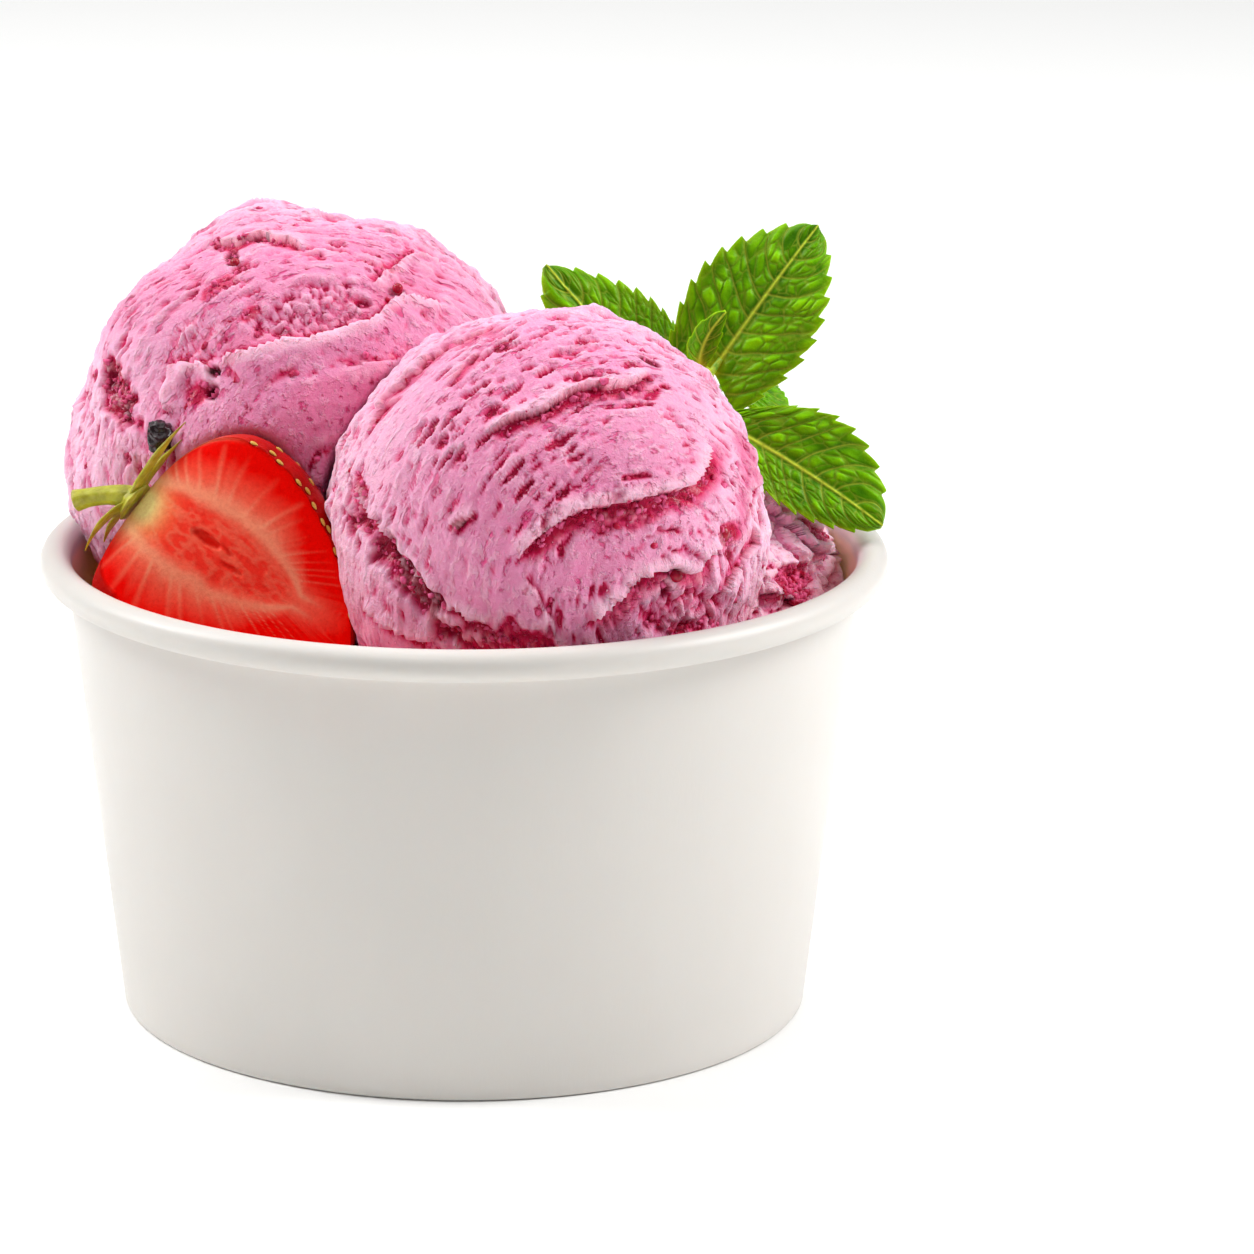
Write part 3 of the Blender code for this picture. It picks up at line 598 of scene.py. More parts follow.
def churned(centre, radii, lumps, seed, wavelength, pole, start, carve, blocked, tear=1.0):
    """A whole scoop: its cap of directions, its plain ball, its dents, the carving that is its own, and
    the drag pits, striations and crumbs that all scoops share."""
    away = ball_cap()
    centre = np.array(centre)
    full = ball_length(away, radii, lumps, seed, wavelength)
    spot = away * full[:, None]
    length = dented(centre, away, full, blocked)
    free = eased(1 + (length - full) / 0.8)
    skin = Relief(spot, rough_noise(spot, 2.2, seed + 5))
    carve(skin)
    out, turn, size = drag_frame(spot, pole, start)
    arcs = np.stack([turn * size * 0.8, out], 1)
    calm = (eased(0.62 + 1.6 * soft_noise(spot, 8.0, seed + 6)) * 0.8 + 0.2) * (1 - skin.quiet)
    frayed = out + 0.3 * rough_noise(spot, 0.8, seed + 7)
    big = pits(frayed, turn, size, 3.6, 1.2, 0.4, seed + 10) * calm
    small = pits(frayed, turn, size, 1.9, 0.75, 0.42, seed + 20) * calm
    fine = pits(out, turn, size, 1.0, 0.5, 0.3, seed + 30)
    lines = soft_noise(arcs / np.array([6.0, 0.5]), 1.0, seed + 41)
    waves = soft_noise(arcs / np.array([11.0, 1.6]), 1.0, seed + 42)
    flakes = np.clip(soft_noise(arcs / np.array([5.0, 1.3]), 1.0, seed + 44) - 0.1, 0, 1)
    skin.rise -= tear * (0.75 * big + 0.42 * small) * (1 - 0.8 * skin.juice_and_shade) + 0.14 * fine
    skin.rise += (0.12 * lines + 0.16 * waves) * (1 - 0.6 * skin.quiet)
    skin.rise += 0.09 * rough_noise(spot, 0.9, seed + 43)
    ragged = 0.8 * flakes - 0.35 + 0.5 * rough_noise(spot, 1.9, seed + 45)
    skin.rise += ragged * eased(2.0 - skin.depth / 7) * (1 - 0.85 * skin.quiet)
    # The pits are painted crimson as well as sunk: painted shade in them.
    skin.juice_and_shade = np.maximum(skin.juice_and_shade, 0.5 * big + 0.36 * small + 0.12 * fine)
    # Hollows below the blurred skin are painted crimson and ridges above it pale: painted shade and painted
    # highlight.
    hollow = (spread_out(skin.rise, 4) - skin.rise) * free
    facing = np.clip(skin.depth / full, 0, 1)
    deep = np.maximum(skin.juice_and_shade, tear * np.clip((2.6 + 1.2 * facing) * hollow - 0.06, 0, 0.95))
    # Skin that faces the front is painted deeper pink: painted shade.
    skin.juice_and_shade = np.maximum(deep, 0.22 * facing ** 1.5)
    # Skin that turns to the sides and towards the outline as looked at is painted pale: a painted rim
    # highlight.
    sideways = np.clip(np.abs(skin.x) / full, 0, 1) ** 2.4 * eased(skin.depth / full * 2.5 + 1)
    edge = 0.6 * np.exp(-(((skin.depth / full - 0.12) / 0.28) ** 2))
    pale = 0.95 * np.maximum(sideways, edge) * np.clip(1 - 2.4 * deep, 0, 1)
    skin.frost_and_highlight = np.maximum(skin.frost_and_highlight * (hollow < 0.05), np.clip(-1.6 * hollow - 0.06, 0, 0.7))
    skin.frost_and_highlight = np.maximum(skin.frost_and_highlight, pale)
    # Skin low down near the rim is painted deeper crimson: painted shade.
    low = eased((TUB_HEIGHT + 4 - centre[2] - spot[:, 2]) / 9)
    skin.juice_and_shade = np.maximum(skin.juice_and_shade, 0.4 * (tear - 0.3) * low)
    reach = np.minimum(skin.rise, 0.9) * (0.25 + 0.75 * free)
    points = centre + away * (length + reach)[:, None] + skin.push * free[:, None]
    skin.shade = np.maximum(skin.shade, 0.3 * tear * (1 - free))
    outside = past_wall(points)
    points[outside] = (centre + away * (length - 0.3)[:, None])[outside]
    rim = cap_rim()
    foot = centre - np.array([0, 0, 0.8 * radii[2]])
    tone = np.stack([skin.juice_and_shade, skin.shade, skin.frost_and_highlight], 1)
    tone = np.clip(np.concatenate([tone, [[0.3, 0.3, 0.0]]]), 0, 1)
    drag = np.stack([out * np.cos(turn), out * np.sin(turn), np.full(len(out), float(seed))], 1) * MM
    paint = {"tone": tone, "drag": np.concatenate([drag, [[0, 0, 0]]])}
    faces = (grid_faces(GRID, GRID), fan(rim, len(points))[:, ::-1])
    return np.concatenate([points, foot[None]]), paint, faces


def cream_finish():
    """Frozen cream: soft light inside it, a satin skin, crimson juice and painted shade where it is torn, and
    pale frost and painted highlight on lips.

    Attribute "drag" holds the place in the drag marks. Its length and its turn lay out torn flecks and
    brush lines along the arcs that the spade left.
    """
    made, shader, place = new_finish(
        "berry_ice_cream", linear(226, 140, 184), Roughness=0.5, IOR=1.35, Specular_IOR_Level=0.3,
        Subsurface_Weight=0.45, Subsurface_Radius=(1.0, 0.3, 0.45), Subsurface_Scale=0.0009,
        Specular_Tint=(1.0, 0.45, 0.65, 1.0), Sheen_Weight=0.1, Sheen_Roughness=0.3,
        Sheen_Tint=(1.0, 0.55, 0.72, 1.0), Coat_Roughness=0.12)
    tone = place.node("Attribute", {"attribute_name": "tone"}, {}, output=0)
    split = tone.node("SeparateColor", {}, {0: tone})
    juice_and_shade, shade, frost_and_highlight = (Wire(split.socket.node.outputs[k]) for k in range(3))
    drag = place.node("Attribute", {"attribute_name": "drag"}, {}, output=1)
    flat = drag.node("VectorMath", {"operation": "MULTIPLY"}, {0: drag, 1: (1.0, 1.0, 0.0)})
    out = flat.node("VectorMath", {"operation": "LENGTH"}, {0: flat}, output=1)
    split = drag.node("SeparateXYZ", {}, {0: drag})
    first, second, batch = (Wire(split.socket.node.outputs[k]) for k in range(3))
    turn = second.maths("ARCTAN2", second, first) * (17 * MM)
    arcs = turn.node("CombineXYZ", {}, {0: turn, 1: out, 2: batch * 0.4})
    crowd = (place.grain(7.0, detail=2.0) - 0.5) * 0.35
    wide_fleck = arcs.grain(1.5, detail=3.0, roughness=0.6, stretch=(0.6, 1.15, 1.0))
    thin_fleck = arcs.grain(0.8, detail=2.0, roughness=0.6, stretch=(0.7, 1.1, 1.0))
    torn = ((wide_fleck + crowd - 0.6) * 13.0).kept()
    torn = torn.maths("MAXIMUM", torn, ((thin_fleck + crowd - 0.64) * 11.0).kept() * 0.6)
    brush = arcs.grain(0.5, detail=2.0, roughness=0.6, stretch=(0.25, 1.0, 1.0))
    chips = arcs.grain(1.2, detail=2.5, roughness=0.65, stretch=(0.7, 1.2, 1.3))
    chips = ((chips - crowd - 0.57) * 9.0).kept()
    cloud = place.grain(5.0, detail=2.0)
    sand = place.grain(0.36, detail=2.0, roughness=0.7)
    cream = cloud.shade(linear(240, 171, 208), linear(226, 143, 187))
    cream = ((sand - 0.5).kept() * 1.6).shade(cream, linear(254, 216, 236))
    cream = (chips * 0.5).shade(cream, linear(252, 210, 232))
    # Torn flecks are painted a deeper crimson: painted shade in the pits.
    cream = (torn * 0.8).shade(cream, linear(218, 50, 126))
    # Crimson from the juice and shade channel: berry juice and painted shade.
    cream = (juice_and_shade * 1.2).kept().shade(cream, linear(220, 26, 96))
    cream = (juice_and_shade * 2.6 - 1.8).kept().shade(cream, linear(172, 6, 46))
    cream = shade.kept().shade(cream, linear(64, 3, 16))
    # Pale from the frost and highlight channel: frost and painted highlight.
    cream = (frost_and_highlight * 0.75).shade(cream, linear(255, 220, 234))
    feed(shader, "Base Color", cream)
    feed(shader, "Roughness", (0.48 - juice_and_shade * 0.26 + sand * 0.12).kept(0.14, 0.8))
    feed(shader, "Coat Weight", (juice_and_shade * 1.2 - shade * 1.2 - 0.5).kept(0.0, 0.2))
    fine = sand * 0.16 + place.grain(0.14, detail=1.0) * 0.04
    bumped(shader, fine + brush * 0.06 + chips * 0.14 - torn * 0.3, 1.0)
    return made


cream = cream_finish()

# Lines and spots on each scoop are in millimetres right of and above its middle, as looked at
FRONT_FOLDS = (
    dict(line=((-7.3, 9.5), (-4.0, 11.6), (-0.9, 12.6), (1.2, 13.9), (3.5, 15.0), (8.5, 15.5), (11.6, 16.7)),
         lip=0.85, trough=0.95, roll=1.0, spread=1.5, curl=0.5, juice_and_shade=1.0, jag=0.25),
    dict(line=((-4.1, -4.9), (-2.9, -2.2), (-0.8, -0.3), (1.4, 1.0), (3.6, 2.0), (8.8, 2.8), (14.7, 4.3),
               (16.3, 6.0), (17.0, 8.0), (17.3, 10.2)),
         lip=0.95, trough=1.35, roll=1.6, spread=2.3, curl=0.7, juice_and_shade=1.0, jag=0.3),
    dict(line=((3.3, -10.9), (6.6, -8.4), (8.1, -6.7), (9.2, -5.6), (12.1, -4.6), (14.0, -4.5), (15.6, -4.9),
               (16.6, -3.2), (18.2, -2.2), (19.3, -3.7)),
         lip=0.9, trough=1.5, roll=1.8, spread=2.6, curl=0.7, juice_and_shade=0.75, jag=0.35),
    dict(line=((-20.8, 8.6), (-20.3, 10.1), (-18.2, 13.9), (-14.8, 17.0), (-12.5, 18.8), (-10.3, 20.4),
               (-7.3, 21.7), (-4.5, 22.8)),
         lip=0.45, trough=0.6, roll=1.0, spread=0.9, curl=0.3, juice_and_shade=0.55, jag=0.5),
    dict(line=((-11.4, 14.8), (-9.4, 17.3), (-7.0, 19.6)),
         lip=0.3, trough=0.6, roll=0.9, spread=0.8, curl=0.3, juice_and_shade=0.75, jag=0.2, ends=0.3),
    dict(line=((-21.6, 6.0), (-20.9, 3.9), (-19.4, 1.3), (-18.6, 0.3), (-17.4, -1.9), (-15.5, -4.3),
               (-13.7, -6.3), (-11.7, -9.0), (-9.0, -9.8), (-6.2, -11.2)),
         lip=0.35, trough=1.6, roll=0.9, spread=0.9, curl=0.3, juice_and_shade=1.0, jag=1.0),
    dict(line=((0.6, -12.4), (0.2, -10.4), (-1.7, -7.0), (-3.1, -5.6)),
         lip=0.35, trough=0.5, roll=0.8, spread=0.6, curl=0.2, juice_and_shade=0.6, jag=0.3),
    dict(line=((-10.9, -1.2), (-9.4, 0.7), (-7.6, 1.8)),
         lip=0.5, trough=0.8, roll=0.7, spread=0.9, curl=0.4, juice_and_shade=0.9, jag=0.3, ends=0.3),
    dict(line=((20.6, 11.6), (22.3, 7.8), (22.8, 4.4), (21.7, 2.7), (21.5, 0.2), (20.9, -3.0)),
         lip=-0.1, trough=-0.9, roll=1.0, spread=1.6, curl=0.0, juice_and_shade=0.4, jag=0.5),
    dict(line=((22.6, 0.4), (23.3, -1.8), (21.7, -3.4), (20.4, -5.0), (19.0, -8.0)),
         lip=0.6, trough=0.8, roll=1.0, spread=1.0, curl=0.3, juice_and_shade=0.55, jag=0.3),
    dict(line=((-20.4, -8.4), (-18.2, -10.2), (-15.6, -11.6), (-12.2, -12.6)),
         lip=0.7, trough=0.7, roll=1.2, spread=0.9, curl=0.4, juice_and_shade=0.5, jag=0.3),
    dict(line=((-19.6, 12.8), (-16.6, 14.2), (-15.5, 14.6)),
         lip=0.25, trough=0.4, roll=0.8, spread=0.6, curl=0.2, juice_and_shade=0.4, jag=0.3, ends=0.3),
)
FRONT_SPOTS = (
    dict(x=-5.3, y=19.6, long=1.5, wide=0.7, tilt=30, juice_and_shade=1.0, shade=0.5, sink=0.5),
    dict(x=10.9, y=18.0, long=1.6, wide=0.45, tilt=-22, juice_and_shade=1.0, shade=0.7, sink=0.3),
    dict(x=11.2, y=14.3, long=1.6, wide=0.8, tilt=35, juice_and_shade=0.85, sink=0.3),
    dict(x=12.6, y=15.2, long=0.9, wide=0.4, tilt=-15, juice_and_shade=0.95, sink=0.3),
    dict(x=-12.6, y=10.9, long=1.1, wide=0.45, tilt=48, juice_and_shade=0.95, shade=0.35, sink=0.4),
    dict(x=-16.2, y=7.6, long=0.9, wide=0.4, tilt=60, juice_and_shade=0.9, shade=0.2, sink=0.3),
    dict(x=-20.6, y=4.6, long=1.8, wide=0.6, tilt=-75, juice_and_shade=1.0, sink=0.4),
    dict(x=-16.6, y=-3.0, long=2.6, wide=1.0, tilt=-55, juice_and_shade=1.0, shade=0.7, sink=0.7, ragged=0.9),
    dict(x=-12.2, y=-8.2, long=2.8, wide=0.9, tilt=-45, juice_and_shade=1.0, shade=0.6, sink=0.6, ragged=0.9),
    dict(x=13.6, y=-4.9, long=1.5, wide=0.8, tilt=-5, juice_and_shade=1.0, shade=0.5, sink=0.7),
    dict(x=13.0, y=-7.1, long=0.9, wide=1.3, tilt=20, juice_and_shade=1.0, shade=0.75, sink=0.8),
    dict(x=19.3, y=-0.9, long=2.2, wide=1.5, tilt=60, juice_and_shade=1.0, sink=0.5, ragged=0.2),
    dict(x=19.7, y=-3.1, long=0.7, wide=0.8, tilt=0, juice_and_shade=1.0, shade=0.3, sink=0.3, ragged=0.2),
    dict(x=-10.1, y=0.1, long=1.2, wide=0.5, tilt=35, juice_and_shade=1.0, shade=0.3, sink=0.3),
)


def carve_front(skin):
    """Its shelves and seams, a jagged crevice at its left, crumbled hollows, and calm skin between."""
    for fold in FRONT_FOLDS:
        skin.fold(**fold)
    for spot in FRONT_SPOTS:
        skin.patch(**spot)
    hollow = skin.patch(14.6, -9.6, 6.6, 3.6, 12, juice_and_shade=0.4, sink=0.7, ragged=0.3)
    skin.crumble(hollow, 1.7, 1.1, 61)
    foot = skin.patch(-4.5, -12.8, 9.5, 2.4, -8, juice_and_shade=0.85, sink=0.5, ragged=0.8)
    skin.crumble(foot, 1.4, 0.8, 67)
    seam = skin.patch(8.6, 0.9, 8.2, 1.5, 14, juice_and_shade=0.75, ragged=0.5)
    skin.crumble(seam, 1.15, 0.5, 71)
    jagged = skin.patch(-15.6, -5.6, 9.6, 2.0, -50, juice_and_shade=1.0, shade=0.35, sink=0.7, ragged=0.7)
    skin.crumble(jagged, 1.4, 0.7, 73)
    for smooth in ((9.0, 8.5, 7.5, 3.6, 10), (4.0, -4.5, 8.0, 3.2, 25), (-6.0, -8.0, 6.0, 4.0, 0),
                   (-20.0, -7.5, 9.0, 3.6, -60)):
        skin.quiet = np.maximum(skin.quiet, 0.85 * skin.patch(*smooth, ragged=0.3))


front_points, front_paint, front_faces = churned(
    *FRONT_BALL,
    pole=0.48 * RIGHTWARDS - 0.33 * UPWARDS + 0.81 * TOWARDS, start=0.8 * UPWARDS - 0.6 * RIGHTWARDS,
    carve=carve_front, blocked=lambda p: past_wall(p) | in_berry(p))
piece("front_scoop", cream, "ice_cream", front_points, *front_faces, paint=front_paint,
      replaces=("scoop_front",))

BACK_FOLDS = (
    dict(line=((15.6, 15.2), (10.4, 16.5), (9.2, 15.4), (7.0, 13.2), (4.1, 12.7), (0.7, 11.5), (-1.8, 11.4),
               (-5.7, 10.3), (-9.2, 9.6), (-9.5, 8.6)),
         lip=0.9, trough=1.3, roll=2.6, spread=3.0, curl=0.5, juice_and_shade=0.35, jag=0.4, ends=0.06),
    dict(line=((17.5, 9.4), (14.6, 10.3), (12.0, 9.6), (9.0, 8.9), (6.2, 8.2), (4.2, 9.4)),
         lip=0.25, trough=0.3, roll=1.2, spread=0.8, curl=0.2, juice_and_shade=0.35, jag=0.9),
    dict(line=((-9.6, 8.2), (-12.0, 8.9), (-14.9, 9.0), (-15.2, 6.4), (-15.6, 5.4), (-15.0, 3.0)),
         lip=0.8, trough=0.7, roll=1.5, spread=1.2, curl=0.4, juice_and_shade=0.3, jag=0.35),
    dict(line=((-11.0, 24.0), (-9.5, 23.3), (-8.0, 23.4), (-6.6, 24.1), (-5.2, 24.4), (-3.2, 23.4),
               (-1.0, 22.9), (0.1, 21.8)),
         lip=0.6, trough=0.9, roll=1.2, spread=0.9, curl=0.4, juice_and_shade=0.9, jag=0.3),
    dict(line=((15.4, 20.6), (11.6, 21.9), (8.6, 19.2), (7.2, 18.0)),
         lip=0.5, trough=0.8, roll=1.2, spread=1.0, curl=0.3, juice_and_shade=0.8, jag=0.4),
    dict(line=((-26.6, 6.0), (-27.2, 0.0), (-26.3, -5.0), (-24.0, -11.0)),
         lip=0.3, trough=0.5, roll=0.9, spread=0.7, curl=0.2, juice_and_shade=0.35, jag=0.3),
    dict(line=((-24.6, 8.0), (-25.2, 1.0), (-24.4, -4.0), (-22.5, -9.0)),
         lip=0.3, trough=0.5, roll=0.9, spread=0.7, curl=0.2, juice_and_shade=0.4, jag=0.3),
    dict(line=((-19.0, 0.0), (-20.5, -3.5), (-20.2, -8.0)),
         lip=0.35, trough=0.5, roll=0.9, spread=0.6, curl=0.2, juice_and_shade=0.4, jag=0.4),
    dict(line=((17.6, 12.0), (20.2, 9.6), (21.8, 6.8)),
         lip=0.4, trough=0.5, roll=0.9, spread=0.8, curl=0.2, juice_and_shade=0.5, jag=0.4),
)
BACK_SPOTS = (
    dict(x=-10.2, y=8.2, long=0.9, wide=0.7, tilt=10, juice_and_shade=1.0, shade=1.0, sink=1.1, ragged=0.2),
    dict(x=-10.4, y=5.7, long=1.0, wide=1.3, tilt=-20, juice_and_shade=1.0, shade=1.0, sink=0.9, ragged=0.4),
    dict(x=-12.0, y=5.6, long=2.2, wide=1.7, tilt=40, juice_and_shade=0.95, sink=0.3, ragged=0.3),
    dict(x=-8.6, y=21.6, long=0.9, wide=1.2, tilt=0, juice_and_shade=1.0, shade=0.85, sink=0.6),
    dict(x=-5.0, y=24.0, long=1.6, wide=0.35, tilt=8, juice_and_shade=1.0, shade=0.8, sink=0.4),
    dict(x=-7.1, y=20.2, long=1.7, wide=0.7, tilt=38, juice_and_shade=1.0, shade=0.2, sink=0.4),
    dict(x=-9.9, y=17.7, long=3.2, wide=1.0, tilt=33, juice_and_shade=0.8, sink=0.1, ragged=0.7),
    dict(x=-6.4, y=14.8, long=2.2, wide=0.9, tilt=30, juice_and_shade=0.9, sink=0.2, ragged=0.6),
    dict(x=-21.3, y=5.3, long=4.8, wide=2.3, tilt=-68, juice_and_shade=1.0, shade=0.15, sink=0.5, ragged=0.7),
    dict(x=-22.5, y=7.4, long=1.6, wide=1.0, tilt=-60, juice_and_shade=1.0, shade=0.6, sink=0.4, ragged=0.7),
    dict(x=-20.3, y=3.2, long=1.6, wide=0.8, tilt=-70, juice_and_shade=1.0, shade=0.6, sink=0.4, ragged=0.7),
    dict(x=-20.0, y=-1.6, long=1.0, wide=0.7, tilt=-70, juice_and_shade=0.9, shade=0.2, sink=0.4),
    dict(x=-24.5, y=8.0, long=0.5, wide=1.2, tilt=-20, juice_and_shade=0.8, sink=0.2),
    dict(x=10.6, y=17.7, long=1.1, wide=0.6, tilt=-20, juice_and_shade=1.0, shade=0.6, sink=0.5),
    dict(x=9.2, y=20.4, long=1.4, wide=0.5, tilt=-50, juice_and_shade=0.8, sink=0.2),
    dict(x=7.0, y=16.2, long=1.3, wide=0.6, tilt=-15, juice_and_shade=0.8, shade=0.4, sink=0.5),
    dict(x=7.4, y=6.8, long=0.4, wide=0.3, tilt=0, juice_and_shade=0.8, shade=0.5, sink=0.1),
    dict(x=-6.4, y=4.2, long=0.4, wide=0.3, tilt=0, juice_and_shade=0.8, shade=0.4, sink=0.1),
)


def carve_back(skin):
    """Its torn flap and the crumbled band behind it, paled with frost and painted highlight, arc grooves above
    and a burst berry.
    """
    for fold in BACK_FOLDS:
        skin.fold(**fold)
    for spot in BACK_SPOTS:
        skin.patch(**spot)
    band = skin.patch(1.5, 15.3, 8.6, 3.6, 14, sink=0.4, ragged=0.5, frost_and_highlight=0.25)
    skin.crumble(band, 1.25, 0.9, 81)
    shoulder = skin.patch(-12.6, 11.6, 5.4, 3.6, 40, ragged=0.7, frost_and_highlight=0.12)
    skin.crumble(shoulder, 1.4, 0.55, 83)
    burst = skin.patch(-21.3, 5.3, 5.0, 2.6, -68, ragged=0.6)
    skin.crumble(burst, 1.3, 0.9, 87)
    # The flank under the flap is painted deeper pink: painted shade.
    flank = skin.patch(4.0, 4.0, 12.0, 5.6, 18, ragged=0.15)
    skin.juice_and_shade = np.maximum(skin.juice_and_shade, 0.34 * flank)
    skin.rise += 0.35 * flank
    skin.quiet = np.maximum(skin.quiet, 0.85 * flank)
    # The upper front of the scoop is painted deeper pink: painted shade.
    skin.juice_and_shade = np.maximum(skin.juice_and_shade, 0.2 * eased((skin.y - 5) / 12) * eased(skin.depth / 14))


back_points, back_paint, back_faces = churned(
    *BACK_BALL,
    pole=0.14 * RIGHTWARDS - 0.12 * UPWARDS + 0.98 * TOWARDS, start=UPWARDS,
    carve=carve_back, blocked=lambda p: past_wall(p) | in_berry(p) | in_ball(p, *FRONT_BALL), tear=0.9)
piece("back_scoop", cream, "ice_cream", back_points, *back_faces, paint=back_paint,
      replaces=("scoop_back",))


def carve_right(skin):
    """A rougher lump than the others: broken into ledges painted pale as painted light, with crimson hollows
    between them, wet juice and painted shade.
    """
    everywhere = np.ones(len(skin.spot))
    skin.crumble(everywhere * 0.35, 4.2, 3.0, 91)
    skin.crumble(everywhere * 0.3, 1.9, 0.8, 93)
    # Its crimson is toned down and all of it is painted pale: painted light that lifts it out of the shade of
    # the leaf and the front scoop.
    skin.juice_and_shade *= 0.4
    skin.frost_and_highlight = np.maximum(skin.frost_and_highlight, 0.95)
    skin.fold(((8.0, 8.6), (10.8, 7.3), (13.0, 4.6), (15.6, 3.0), (19.0, 2.6)), 0.9, 1.3, juice_and_shade=0.3)
    skin.fold(((7.5, -2.2), (10.6, -1.9), (13.0, -3.6)), 0.9, 1.0, juice_and_shade=0.5)
    for hollow in ((12.2, -0.6, 3.0, 2.1, 20), (14.4, 5.4, 2.4, 0.9, -40), (12.9, -2.6, 2.4, 0.9, 20)):
        skin.frost_and_highlight *= 1 - skin.patch(*hollow, juice_and_shade=0.95, sink=0.9, ragged=0.3)
    skin.patch(13.2, 1.2, 0.7, 0.5, 0, juice_and_shade=1.0, shade=0.5, sink=0.4, ragged=0.2)


right_points, right_paint, right_faces = churned(
    *RIGHT_BALL,
    pole=UPWARDS, start=TOWARDS, carve=carve_right,
    blocked=lambda p: past_wall(p) | in_ball(p, *FRONT_BALL) | in_ball(p, *BACK_BALL), tear=0.3)
piece("right_scoop", cream, "ice_cream", right_points, *right_faces, paint=right_paint,
      replaces=("scoop_right",))

BED_LEVEL = 44.5
BED_LUMPS = 1.4
BED_RINGS = 150
BED_STEPS = 300
BED_CLEARANCE = 1.2


def bed_points():
    """The tub's filling: a disc of heights with low lumps and crumbs, lowered under scoops and berry."""
    floor_height = HEM_HEIGHT + BASE_THICKNESS + 2 * GAP
    around = np.linspace(0, 2 * math.pi, BED_STEPS, endpoint=False)
    share, turn = np.meshgrid(np.linspace(0.004, 1, BED_RINGS), around, indexing="ij")
    edge = inner_radius(BED_LEVEL) - GAP
    x, y = (share * edge * np.cos(turn)).ravel(), (share * edge * np.sin(turn)).ravel()
    flat = np.stack([x, y, np.zeros_like(x)], 1)
    nearest, second = lump_spots(flat, 2.4, 101)
    crumb = np.clip(second - nearest, 0, 0.5)
    top = BED_LEVEL + BED_LUMPS * ripple(flat, 13.0, 5) + 1.1 * crumb
    top = top + 0.5 * rough_noise(flat, 1.5, 103) - 0.4
    low, high = np.full_like(x, floor_height + 2), top.copy()

    def filled(z):
        """True where the filling would run into the berry or a scoop at these heights."""
        spot = np.stack([x, y, z], 1)
        full = in_berry(spot, 1.0)
        for ball in (FRONT_BALL, BACK_BALL, RIGHT_BALL):
            full = full | in_ball(spot, *ball, BED_CLEARANCE)
        return full

    for _ in range(10):
        middle = (low + high) / 2
        inside = filled(middle)
        low, high = np.where(inside, low, middle), np.where(inside, middle, high)
    z = np.where(filled(top), low, top).reshape(BED_RINGS, BED_STEPS)
    for _ in range(6):
        mean = (np.roll(z, 1, 1) + np.roll(z, -1, 1)) / 2
        z = np.minimum(z, mean)
    shrink = np.minimum(1.0, (inner_radius(z.ravel()) - GAP) / np.maximum(np.hypot(x, y), 1.0))
    foot_edge = inner_radius(floor_height) - GAP
    foot = turned(foot_edge, floor_height, around)
    tone = np.stack([0.3 + 0.3 * rough_noise(flat, 3.0, 105), 0 * x, 0.1 + 0 * x], 1)
    return np.stack([x * shrink, y * shrink, z.ravel()], 1), foot, np.clip(tone, 0, 1)


bed_top, bed_foot, bed_tone = bed_points()
bed_all = np.concatenate([bed_top, bed_foot, [bed_top[:BED_STEPS].mean(0)], [[0, 0, bed_foot[0, 2]]]])
bed_tone = np.concatenate([bed_tone, np.full((BED_STEPS + 2, 3), 0.2)])
piece("tub_filling", cream, "ice_cream", bed_all, *capped(BED_RINGS + 1, BED_STEPS),
      paint={"tone": bed_tone, "drag": bed_all * MM}, replaces=("ice_cream_bed",))


# Crumbs and ice. Bits of frozen cream that the spade broke off lie along the lips and in the hollows,
# and small clear crystals stand on them.
def round_ball(leans, columns):
    """A unit ball: a ring of points at each lean from straight up, its two poles last, and its faces."""
    around = np.linspace(0, 2 * math.pi, columns, endpoint=False)
    lean, turn = np.meshgrid(leans, around, indexing="ij")
    ball = np.stack([np.sin(lean) * np.cos(turn), np.sin(lean) * np.sin(turn), np.cos(lean)], -1)
    return np.concatenate([ball.reshape(-1, 3), [[0, 0, 1.0], [0, 0, -1.0]]]), capped(len(leans), columns)


def copied(faces, count, size):
    """The faces of one shape, repeated for copies whose points, of a size each, follow each other."""
    step = (np.arange(count) * size)[:, None, None]
    return [(group[None] + step).reshape(-1, group.shape[1]) for group in faces]


def scattered(count, centre, points, paint, seed, sizes):
    """Small lumps seated on a scoop where it is most crimson, of random sizes and shapes."""
    rng = np.random.default_rng(seed)
    skin = points[:-1] - np.array(centre)
    likely = np.clip(paint["tone"][:-1, 0] - 0.45, 0, 1) * (skin[:, 2] > -9) + 1e-6
    picked = rng.choice(len(skin), count, p=likely / likely.sum(), replace=False)
    away = skin[picked] / np.linalg.norm(skin[picked], axis=1)[:, None]
    ball, body = round_ball((1.0, 2.1), 6)
    size = rng.uniform(sizes[0], sizes[1], (count, 1, 1)) * rng.uniform(0.6, 1.3, (count, 1, 3))
    lumps = ball[None] * size * rng.uniform(0.5, 1.4, (count, len(ball), 1))
    lumps = lumps + points[picked][:, None] - 0.1 * sizes[0] * away[:, None]
    return lumps.reshape(-1, 3), copied(body, count, len(ball))


